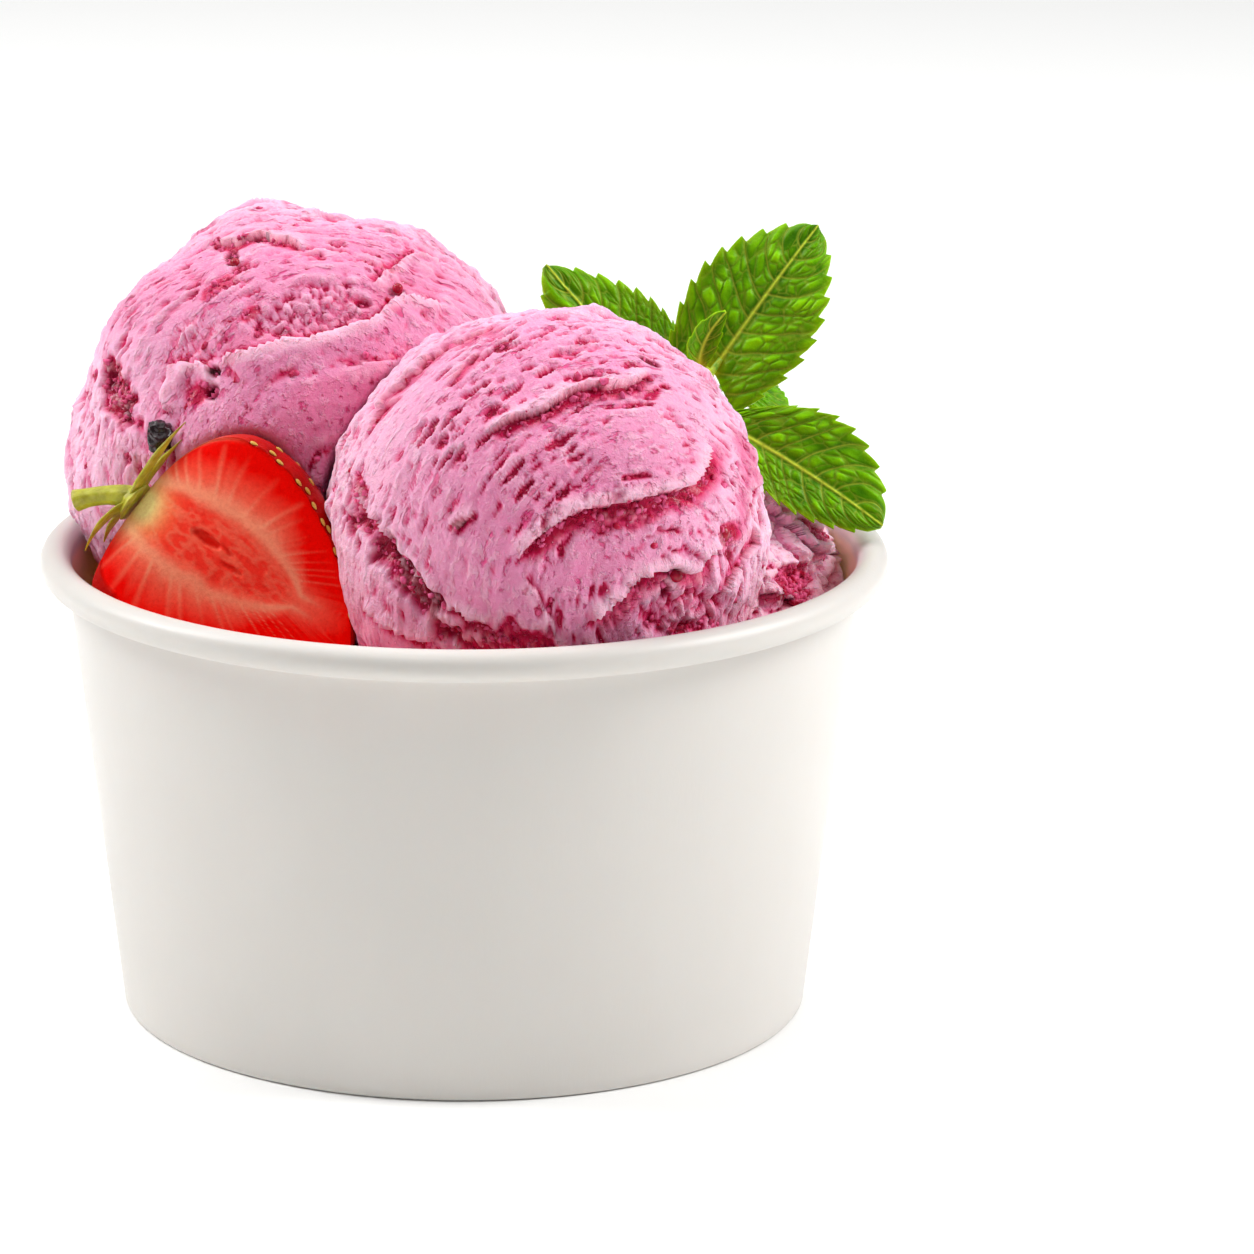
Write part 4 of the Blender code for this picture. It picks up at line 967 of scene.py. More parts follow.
CRUMBS = 700
CRUMB_SIZES = (0.14, 0.5)
SPARKS = 120
SPARK_SIZES = (0.05, 0.15)
ice, ice_shader, ice_place = new_finish("clear_ice", linear(250, 226, 236), Roughness=0.08, IOR=1.31,
                                        Coat_Weight=0.6, Coat_Roughness=0.03)
feed(ice_shader, "Base Color",
     ice_place.grain(1.2, detail=2.0).shade(linear(236, 96, 150), linear(255, 200, 222)))
crumb_skin, crumb_shader, crumb_place = new_finish(
    "frozen_crumbs", linear(226, 60, 120), Roughness=0.3, Specular_IOR_Level=0.35,
    Specular_Tint=(1.0, 0.55, 0.7, 1.0))
crumb_cloud = ((crumb_place.grain(1.1, detail=2.0) - 0.35) * 3.0).kept()
feed(crumb_shader, "Base Color", crumb_cloud.shade(linear(176, 4, 50), linear(244, 112, 166)))
for k, (owner, at, own_points, own_paint) in enumerate((
        ("front", FRONT_CENTRE, front_points, front_paint), ("back", BACK_CENTRE, back_points, back_paint),
        ("right", RIGHT_CENTRE, right_points, right_paint))):
    crumbs, crumb_faces = scattered(CRUMBS, at, own_points, own_paint, 501 + k, CRUMB_SIZES)
    piece(owner + "_crumbs", crumb_skin, "ice_cream", crumbs, *crumb_faces)
    sparks, spark_faces = scattered(SPARKS, at, own_points, own_paint, 511 + k, SPARK_SIZES)
    piece(owner + "_ice", ice, "ice_cream", sparks, *spark_faces, flat=True)


# Whole currants and drupelets. Small round berries that were stirred in whole: dark glossy skins, sunk
# in the cream to about half, with folded skin.
CURRANT_SPOT = (-16.1, 0.9)
CURRANT_RADIUS = 1.9
# Each drupelet's scoop, its place right of and above the scoop's middle, and its radius
DRUPELETS = (
    (FRONT_BALL, 19.2, -0.9, 1.0),
    (FRONT_BALL, 13.9, -5.6, 0.7),
    (BACK_BALL, -8.2, 20.9, 0.6),
    (BACK_BALL, 10.4, 17.9, 0.6),
)


def round_berry(rows, columns):
    """A unit ball with rows of points between two rings close to its poles."""
    return round_ball(np.linspace(0.08, math.pi - 0.08, rows), columns)


def on_scoop(centre, radii, x, y):
    """The point of a scoop's ball seen right of and above its middle, and the way outwards there."""
    depth = math.sqrt(max(radii[0] ** 2 - x * x - y * y, 1.0))
    away = RIGHTWARDS * x + UPWARDS * y + TOWARDS * depth
    away = away / np.linalg.norm(away)
    return np.array(centre) + away * radii[0], away


def skin_finish(name, dark, bright, roughness):
    """A berry's skin: glossy, clouded between two reds, with a thin clear coat of juice."""
    made, shader, place = new_finish(
        name, dark, Roughness=roughness, Specular_IOR_Level=0.25, Coat_Weight=0.3, Coat_Roughness=0.06,
        Subsurface_Weight=0.1, Subsurface_Radius=(1.0, 0.1, 0.1), Subsurface_Scale=0.0006)
    cloud = place.grain(0.9, detail=3.0)
    feed(shader, "Base Color", ((cloud - 0.35) * 2.2).kept().shade(dark, bright))
    bumped(shader, place.grain(0.5, detail=3.0), 0.12)
    return made


currant_skin = skin_finish("currant_skin", linear(14, 3, 8), linear(54, 12, 24), 0.25)
juice_skin = skin_finish("drupelet_skin", linear(140, 0, 28), linear(198, 10, 62), 0.25)
ball, ball_faces = round_berry(30, 44)
currant_at = on_scoop(BACK_CENTRE, BACK_RADII, *CURRANT_SPOT)[0]
wrinkle = 1 + 0.16 * rough_noise(ball, 0.7, 201) - 0.3 * np.abs(soft_noise(ball, 0.45, 203))
currant_points = currant_at + ball * wrinkle[:, None] * CURRANT_RADIUS * np.array([0.92, 1.0, 1.05])
piece("currant", currant_skin, "ice_cream", currant_points, *ball_faces)
small_ball, small_faces = round_berry(14, 20)
drupelet_points = []
for k, (owner, x, y, radius) in enumerate(DRUPELETS):
    middle, away = on_scoop(*owner[:2], x, y)
    dimple = 1 + 0.08 * rough_noise(small_ball + 3 * k, 0.7, 211)
    drupelet_points.append(middle - away * radius * 0.75 + small_ball * dimple[:, None] * radius)
piece("drupelets", juice_skin, "ice_cream", np.concatenate(drupelet_points),
      *copied(small_faces, len(DRUPELETS), len(small_ball)))


# Half strawberry. A fruit cut lengthwise and pushed into the cream beside the front scoop. Its cut face
# shows a pale ring round a fibrous core, with threads fanning out to the seeds in its skin.
BERRY_ROWS = 200
FACE_COLUMNS = 170
SKIN_COLUMNS = 130
CORE_WIDTH = 4.5
RING_PLACE = 9.5
RING_REACH = 13.0
FAN_PLACE = 10.5
THREADS = 15
# Each slit's place along and across the face, its length, width, tilt in degrees and depth
SLITS = (
    (9.2, -2.7, 2.5, 0.75, -5.0, 1.0),
    (14.0, -2.0, 1.7, 0.4, -8.0, 0.6),
    (12.2, -3.2, 1.2, 0.3, 6.0, 0.5),
)
EDGE_SEEDS = (6.9, 9.2, 10.6, 13.7, 15.0, 16.7, 18.6, 19.5, 21.7, 23.2, 25.1, 26.0, 27.3)
SEED_SPACING = 2.9
cut_turn = math.acos(BERRY_CUT)


def in_berry_frame(along, across, out):
    """Points from their places along the berry's axis, across its cut face and out of it."""
    parts = (np.asarray(v, float)[..., None] for v in (along, across, out))
    return berry_crown + sum(part * way for part, way in zip(parts, (berry_along, berry_across, berry_out)))


def inside_wall(points):
    """The points, with any that would pass the tub's inner face drawn in to it."""
    reach = np.hypot(points[..., 0], points[..., 1])
    limit = inner_radius(np.minimum(points[..., 2], TUB_HEIGHT)) - GAP
    past = (points[..., 2] < TUB_HEIGHT + 0.3) & (reach > limit)
    draw = np.where(past, limit / np.maximum(reach, 1.0), 1.0)
    return points * np.stack([draw, draw, np.ones_like(draw)], -1)


def berry_skin(share, turn):
    """The berry's skin: ellipses round its axis, from one edge of the cut face behind it to the other."""
    width = berry_width(share)
    depth = width * BERRY_HALF_DEPTH / BERRY_HALF_WIDTH
    return in_berry_frame(share * berry_length, width * np.sin(turn),
                          depth * np.cos(turn) - BERRY_CUT * BERRY_HALF_DEPTH)


def seed_places():
    """Share and turn of each seed: staggered rings round the skin, closer where the berry is thin, and
    one row along the edge of the cut."""
    shares, turns = [], []
    for k, share in enumerate(np.arange(0.05, 0.97, 0.082)):
        width = berry_width(share)
        around = (width + width * BERRY_HALF_DEPTH / BERRY_HALF_WIDTH) / 2 * (2 * math.pi - 2 * cut_turn)
        count = max(int(around / SEED_SPACING), 3)
        spots = (np.arange(count) + 0.25 + 0.5 * (k % 2)) / count
        turns.append(cut_turn + spots * (2 * math.pi - 2 * cut_turn - 0.3))
        shares.append(share + 0.012 * np.sin(5.0 * np.arange(count) + k))
    edge = np.array(EDGE_SEEDS) / berry_length
    shares.append(edge)
    turns.append(np.full(len(edge), 2 * math.pi - cut_turn - 0.035) - 0.05 * (np.arange(len(edge)) % 3 == 1))
    return np.concatenate(shares), np.concatenate(turns)


def flesh_colours(along, across, edge_share):
    """Colours of the cut face, from places along and across it in millimetres.

    The core is an oval about a line that drifts to one side. The distance out from the line, in oval
    widths, gives a red core, a pale ring at 1 and red flesh beyond. Threads lie where a coordinate that
    fans out with that distance meets scattered values, and fade towards the skin.
    """
    middle = -0.8 - 0.145 * along
    off = across - middle
    out = np.abs(off)
    oval = CORE_WIDTH * np.clip(1 - ((along - RING_PLACE) / RING_REACH) ** 2, 0.12, 1) ** 0.8
    flat = np.stack([along, across, np.zeros_like(along)], 1)
    ring = out / oval + 0.12 * rough_noise(flat, 2.2, 301)
    pale = 0.6 * np.exp(-((ring - 1) / 0.3) ** 2) + 0.42 * np.exp(-((ring - 1.2) / 0.8) ** 2)
    pale = pale * eased((25.5 - along) / 6)
    tail = 0.5 * np.exp(-((out / 2.2) ** 2)) * eased((along - 17) / 4) * eased((30 - along) / 8)
    lean = np.where(off > 0, 1.0, 0.0)
    spread = (along - FAN_PLACE - lean * (out - 4)) / (1 + 0.15 * np.clip(out - 4, -2.5, 12))
    rng = np.random.default_rng(7)
    threads = np.zeros_like(along)
    for side in (-1, 1):
        places = np.linspace(-9.5, 14, THREADS) + rng.normal(0, 0.35, THREADS)
        strength = rng.uniform(0.35, 1.0, THREADS)
        bend = 0.12 * soft_noise(flat, 2.5, 305 + side)
        apart = (spread + bend)[:, None] - places
        line = (strength * np.exp(-(apart / (0.1 + 0.012 * out[:, None])) ** 2)).sum(1)
        threads += np.where(np.sign(off) == side, line, 0.0)
    reach = eased((out / oval - 1.0) / 0.4) * eased((out - 0.6) / 1.5)
    threads = np.clip(threads, 0, 1) * reach * np.exp(-np.clip(out - oval, 0, 20) / 4.2)
    threads = threads * eased((1 - edge_share) * 9)
    streak = soft_noise(np.stack([spread, out * 0.12], 1), 0.55, 309) * reach * np.exp(-(out - oval) / 3.5)
    fibre = 1 - np.abs(rough_noise(flat * np.array([0.55, 1.0, 1.0]), 0.9, 311))
    core = eased((1.0 - ring) / 0.45) * eased((22.5 - along) / 4)
    light = np.clip(pale + tail + 0.8 * threads + 0.2 * np.clip(streak, -0.3, 1) - 0.07, 0, 1)
    light = light * (1 - core) + core * (0.12 + 0.3 * np.clip((fibre - 0.6) / 0.4, 0, 1))
    crown = np.exp(-(((along - 0.9) / 2.6) ** 2 + ((across + 0.7) / 2.6) ** 2))
    red, deep = np.array(linear(255, 4, 0)[:3]), np.array(linear(222, 3, 0)[:3])
    salmon, tan = np.array(linear(255, 146, 112)[:3]), np.array(linear(240, 202, 128)[:3])
    shade = eased((across * -1 - 4) / 12)[:, None] * 0.6
    colour = red * (1 - shade) + deep * shade
    colour = colour + (salmon - colour) * light[:, None]
    sink = 0.05 * (pale - threads)
    for a, b, long, wide, tilt, depth in SLITS:
        c, s = math.cos(math.radians(tilt)), math.sin(math.radians(tilt))
        u, v = ((along - a) * c + (across - b) * s) / long, ((across - b) * c - (along - a) * s) / wide
        slit = eased((1 - np.hypot(u, v) + 0.25 * soft_noise(flat, 0.6, 313)) * 2)
        # Slits are painted darker red as well as sunk: painted shade in them.
        colour = colour + (np.array(linear(222, 14, 4)[:3]) - colour) * (0.85 * slit * depth)[:, None]
        sink = sink + 0.45 * slit * depth
    colour = colour + (tan - colour) * np.clip(1.25 * crown, 0, 1)[:, None]
    rim = np.exp(-((1 - edge_share) * 14 / 0.35) ** 2) * eased((7 - along) / 5) * (across < 0)
    colour = colour + (salmon - colour) * (0.7 * rim)[:, None]
    return colour, sink + 0.25 * core - 0.06 * fibre * core


def shoulder(along, across):
    """Where the lower shoulder shows skin in front of the cut: past a line that leaves the crown."""
    line = 5.5 + 3.4 * (1 - np.exp(-np.clip(along, 0, 99) / 1.5)) + 1.5 * np.clip(along - 5, 0, 99)
    return eased((across - line) / 0.5 + 0.5)


def strawberry():
    """Points, faces and colours of the half berry: each ring runs round the skin and back over the face."""
    share = (0.5 - 0.5 * np.cos(np.linspace(0.04, math.pi - 0.04, BERRY_ROWS)))[:, None]
    turn = np.linspace(cut_turn, 2 * math.pi - cut_turn, SKIN_COLUMNS)[None]
    skin = berry_skin(share, turn)
    seeds, seed_turns = seed_places()
    seats = berry_skin(seeds, seed_turns)
    flat_skin = skin.reshape(-1, 3)
    nearest = np.full(len(flat_skin), 9.0)
    for seat in seats:
        nearest = np.minimum(nearest, np.linalg.norm(flat_skin - seat, axis=1))
    centre = in_berry_frame(share * berry_length, 0 * share, 0 * share - BERRY_CUT * BERRY_HALF_DEPTH)
    away = skin - centre
    away = (away / np.maximum(np.linalg.norm(away, axis=-1, keepdims=True), 0.01)).reshape(-1, 3)
    dimple = np.exp(-(nearest / 0.75) ** 2)
    flat_skin = flat_skin - away * (0.32 * dimple - 0.03)[:, None]
    width = berry_width(share)
    level = BERRY_CUT * (width * BERRY_HALF_DEPTH / BERRY_HALF_WIDTH - BERRY_HALF_DEPTH)
    side = np.linspace(-1, 1, FACE_COLUMNS + 2)[None, 1:-1]
    across = width * math.sin(cut_turn) * side
    along = share * berry_length + 0 * across
    colour, sink = flesh_colours(along.ravel(), across.ravel(), np.abs(side + 0 * across).ravel())
    worn = shoulder(along.ravel(), across.ravel())
    lift = 0.5 * worn - sink * (1 - worn) - 0.35 * np.abs(side + 0 * across).ravel() ** 40
    lift = lift * (width / BERRY_HALF_WIDTH + 0 * across).ravel()
    face = in_berry_frame(along.ravel(), across.ravel(), (level + 0 * across).ravel() + lift)
    red, ripe, cap = (np.array(linear(*c)[:3]) for c in ((206, 16, 10), (170, 6, 6), (226, 170, 120)))
    blotch = (0.5 + 0.5 * rough_noise(flat_skin, 3.0, 331))[:, None]
    skin_colour = red * blotch + ripe * (1 - blotch)
    # The skin is painted darker in the seed dimples: painted shade.
    skin_colour = skin_colour * (1 - 0.35 * dimple[:, None])
    near_crown = np.exp(-np.repeat(share * berry_length, SKIN_COLUMNS, 1).ravel() / 1.6)[:, None]
    skin_colour = skin_colour + (cap - skin_colour) * 0.7 * near_crown
    face_blotch = (0.5 + 0.5 * rough_noise(face, 1.2, 333))[:, None]
    colour = colour * (1 - worn[:, None]) + (red * face_blotch + ripe * (1 - face_blotch)) * worn[:, None]
    rings = np.concatenate([flat_skin.reshape(BERRY_ROWS, -1, 3), face.reshape(BERRY_ROWS, -1, 3)], 1)
    tints = np.concatenate([skin_colour.reshape(BERRY_ROWS, -1, 3), colour.reshape(BERRY_ROWS, -1, 3)], 1)
    columns = rings.shape[1]
    ends = np.array([rings[0].mean(0), rings[-1].mean(0)])
    points = inside_wall(np.concatenate([rings.reshape(-1, 3), ends]))
    tints = np.concatenate([tints.reshape(-1, 3), [tints[0].mean(0)], [tints[-1].mean(0)]])
    return points, tints, capped(BERRY_ROWS, columns)


def mottled(shader, place, label, cell, darker, paler):
    """Feeds the base colour with a painted one, multiplied by a tint that follows a grain."""
    paint = place.node("Attribute", {"attribute_name": label}, {}, output=0)
    multiply = {"data_type": "RGBA", "blend_type": "MULTIPLY"}
    tinted = paint.node("Mix", multiply, {0: 1.0, 6: paint, 7: cell.shade(darker, paler)}, output=2)
    feed(shader, "Base Color", tinted)


def flesh_finish():
    """Wet fruit: its painted colours with a fine cellular mottle, light inside it and a film of juice."""
    made, shader, place = new_finish(
        "strawberry_flesh", linear(230, 30, 15), Roughness=0.34, Specular_IOR_Level=0.08,
        Specular_Tint=(1.0, 0.2, 0.1, 1.0), Coat_Weight=0.03, Coat_Roughness=0.05,
        Subsurface_Weight=0.15, Subsurface_Radius=(1.0, 0.12, 0.05), Subsurface_Scale=0.0005)
    cell = place.grain(0.45, detail=3.0, roughness=0.7)
    mottled(shader, place, "flesh", cell, (0.8, 0.7, 0.7, 1.0), (1.15, 1.5, 1.5, 1.0))
    feed(shader, "Roughness", 0.28 + cell * 0.2)
    bumped(shader, cell, 0.09)
    return made


flesh_points, flesh_tints, flesh_faces = strawberry()
piece("half_strawberry", flesh_finish(), "strawberry", flesh_points, *flesh_faces,
      paint={"flesh": flesh_tints}, replaces=("strawberry_half",))


def seed_grains():
    """All the seeds in one piece: a small drop, pointed at one end, set in the skin at each place."""
    share, turn = seed_places()
    seat, tipwards = berry_skin(share, turn), berry_skin(share + 0.01, turn)
    beside = berry_skin(share, turn + 0.02)
    run = tipwards - seat
    run /= np.linalg.norm(run, axis=1)[:, None]
    out = np.cross(run, beside - seat)
    out /= np.linalg.norm(out, axis=1)[:, None]
    inner = in_berry_frame(share * berry_length, 0 * share, 0 * share - 2.8)
    out *= np.sign((out * (seat - inner)).sum(1))[:, None]
    wide = np.cross(out, run)
    drop, faces = round_berry(8, 9)
    taper = 1 - 0.35 * (drop[:, 2] + 1) / 2
    parts = (drop[:, 2] * 0.5, drop[:, 0] * 0.28 * taper, drop[:, 1] * 0.22 * taper)
    grains = seat[:, None] - 0.12 * out[:, None]
    for part, way in zip(parts, (run, wide, out)):
        grains = grains + part[None, :, None] * way[:, None]
    return inside_wall(grains.reshape(-1, 3)), copied(faces, len(seat), len(drop))


def seed_finish():
    """Hard little seeds: straw yellow with a brownish cloud and a dull gloss."""
    made, shader, place = new_finish("strawberry_seed", linear(222, 176, 60), Roughness=0.35)
    cloud = place.grain(0.6, detail=2.0)
    feed(shader, "Base Color", cloud.shade(linear(236, 196, 84), linear(196, 138, 42)))
    bumped(shader, place.grain(0.2, detail=2.0), 0.03)
    return made


grain_points, grain_faces = seed_grains()
piece("strawberry_seeds", seed_finish(), "strawberry", grain_points, *grain_faces)


# Stalk and sepals. A green stalk with a blunt cut end, a ribbed hub where it meets the crown, and narrow
# sepals that curl away from the fruit.
STALK_RADIUS = 1.15
STALK = ((-0.6, -0.2, -2.4), (-2.8, 0.2, -1.8), (-5.7, 4.2, -1.4))
HUB = ((-0.3, 0.0, -2.4), (-0.9, 0.0, -2.4), (-1.5, 0.1, -2.4))
# Each sepal's start, lean and tip, in the berry's frame, and its width
SEPALS = (
    ((-0.8, -1.0, -1.8), (-1.6, -5.6, -0.7), (-0.8, -11.0, -0.4), 1.5),
    ((-0.8, 1.0, -1.8), (-2.2, 3.6, -0.8), (-0.9, 7.5, -0.6), 1.4),
    ((-0.8, -0.8, -2.8), (-1.7, -4.8, -4.2), (-1.3, -8.4, -5.4), 1.4),
    ((-0.8, 0.8, -2.8), (-1.9, 3.6, -4.2), (-1.3, 6.4, -5.6), 1.4),
    ((-0.8, 0.0, -3.0), (-1.7, -0.4, -4.6), (-2.2, -1.0, -6.4), 1.2),
)


def bend(start, middle, end, count):
    """Points of a parabola that starts and ends at two points and leans to a third."""
    share = np.linspace(0, 1, count)[:, None]
    start, middle, end = (np.array(p, float) for p in (start, middle, end))
    return (1 - share) ** 2 * start + 2 * share * (1 - share) * middle + share**2 * end


def tube(path, radii, sides, flatten=1.0, face=(0, 0, 1), ribs=0, rib_height=0.0):
    """Rings carried along a path, each flattened along one direction and ribbed round its edge, with its
    two end points last. It returns its points and faces."""
    run = np.gradient(path, axis=0)
    run /= np.linalg.norm(run, axis=1)[:, None]
    wide = np.cross(run, np.array(face, float))
    wide /= np.linalg.norm(wide, axis=1)[:, None]
    thin = np.cross(wide, run)
    turn = np.linspace(0, 2 * math.pi, sides, endpoint=False)
    size = np.array(radii)[:, None] * (1 + rib_height * np.cos(ribs * turn))
    rings = path[:, None] + wide[:, None] * (size * np.cos(turn))[..., None]
    rings = rings + thin[:, None] * (flatten * size * np.sin(turn))[..., None]
    points = np.concatenate([rings.reshape(-1, 3), path[:1], path[-1:]])
    return points, capped(len(path), sides)


def gathered(tubes):
    """Several tubes as one set of points and faces, each turned to face outwards."""
    points, quads, corners, start = [], [], [], 0
    for own, (body, first, last) in tubes:
        if enclosed(own - own.mean(0), (body, first, last)) < 0:
            body, first, last = body[:, ::-1], first[:, ::-1], last[:, ::-1]
        points.append(own)
        quads.append(body + start)
        corners += [first + start, last + start]
        start += len(own)
    return np.concatenate(points), np.concatenate(quads), np.concatenate(corners)


def stalk_and_sepals():
    """The stalk's tube swells at its cut end, and each sepal is a flat tube that swells and tapers."""
    stalk_path = in_berry_frame(*bend(*STALK, 60).T)
    share = np.linspace(0, 1, 60)
    girth = STALK_RADIUS * (1.22 - 0.3 * eased(share * 1.6) + 0.16 * eased((share - 0.8) * 5))
    girth[-1] *= 0.82
    tubes = [tube(stalk_path, girth, 36, ribs=7, rib_height=0.03)]
    for start, middle, end, width in SEPALS:
        path = in_berry_frame(*bend(start, middle, end, 44).T)
        swell = np.sin(np.linspace(0.45, 0.985, 44) * math.pi) * 0.85 * width + 0.05
        swell = swell * (1 + 0.08 * np.sin(np.linspace(0, 14, 44)))
        tubes.append(tube(path, swell, 24, flatten=0.26, face=berry_along, ribs=3, rib_height=0.05))
    hub_path = in_berry_frame(*bend(*HUB, 12).T)
    tubes.append(tube(hub_path, np.linspace(2.45, 1.35, 12), 40, ribs=9, rib_height=0.035))
    return gathered(tubes)


def calyx_finish():
    """Green tissue: olive yellow with brownish patches, fine hairs as a soft bump, and a waxy gloss."""
    made, shader, place = new_finish("calyx_green", linear(176, 176, 40), Roughness=0.45,
                                     Subsurface_Weight=0.15, Subsurface_Scale=0.0006)
    cloud = place.grain(2.2, detail=4.0)
    streak = place.grain(0.5, detail=3.0, stretch=(0.4, 1.0, 0.4))
    green = ((cloud - 0.4) * 4.0).kept().shade(linear(188, 186, 30), linear(148, 140, 22))
    green = ((streak - 0.5) * 3.0).kept().shade(green, linear(214, 206, 96))
    feed(shader, "Base Color", green)
    bumped(shader, streak, 0.12)
    return made


calyx_points, calyx_quads, calyx_corners = stalk_and_sepals()
piece("stalk_and_sepals", calyx_finish(), "calyx", calyx_points, calyx_quads, calyx_corners,
      replaces=("strawberry_calyx",))


# Mint sprig. A square young stem pushed into the cream, with toothed leaves in pairs. Each leaf is
# quilted: it is stitched down along its veins and swells between them.
LEAF_ROWS = 190
LEAF_COLUMNS = 121
LEAF_THICKNESS = 0.42
TOOTH = 0.11
STEM_RADIUS = 1.05
STEM_FOOT = (26.4, 9.2, 62.2)
STEM_BEND = (27.0, 8.2, 67.0)
STEM_TOP = (27.5, 6.6, 71.4)
LEAVES = {
    "mint_leaf_tall": dict(
        base=(28.3, 8.7, 71.1), middle=(34.5, 9.3, 80.4), tip=(40.3, 12.8, 87.1), face=(-0.15, -0.92, 0.35),
        half_widths=(7.3, 7.4), fullest=0.34, lobed=0.15, fold=0.12, droop=0.1, teeth=9, pairs=8),
    "mint_leaf_left": dict(
        base=(24.9, 9.9, 69.2), middle=(17.4, 11.6, 72.6), tip=(9.4, 14.5, 82.2), face=(0.1, -0.75, 0.65),
        half_widths=(6.2, 6.2), fullest=0.42, lobed=0.08, fold=0.1, droop=0.1, teeth=10, pairs=8),
    "mint_leaf_right": dict(
        base=(29.4, 4.8, 65.8), middle=(38.2, 1.4, 62.0), tip=(47.3, -1.2, 55.4), face=(0.1, -0.9, 0.42),
        half_widths=(6.7, 4.7), fullest=0.52, lobed=0.05, fold=0.14, droop=0.12, teeth=10, pairs=8),
    "mint_leaf_low": dict(
        base=(30.2, 11.6, 69.0), middle=(33.6, 14.2, 68.8), tip=(36.4, 20.0, 66.6), face=(0.45, -0.35, 0.8),
        half_widths=(5.2, 5.4), fullest=0.4, lobed=0.08, fold=0.12, droop=0.1, teeth=7, pairs=6),
    "mint_leaf_young": dict(
        base=(26.6, 4.7, 72.0), middle=(26.4, 4.4, 75.6), tip=(29.6, 4.6, 78.8), face=(0.2, -0.95, 0.1),
        half_widths=(2.0, 1.4), fullest=0.45, lobed=0.05, fold=0.5, droop=0.0, teeth=4, pairs=4),
}


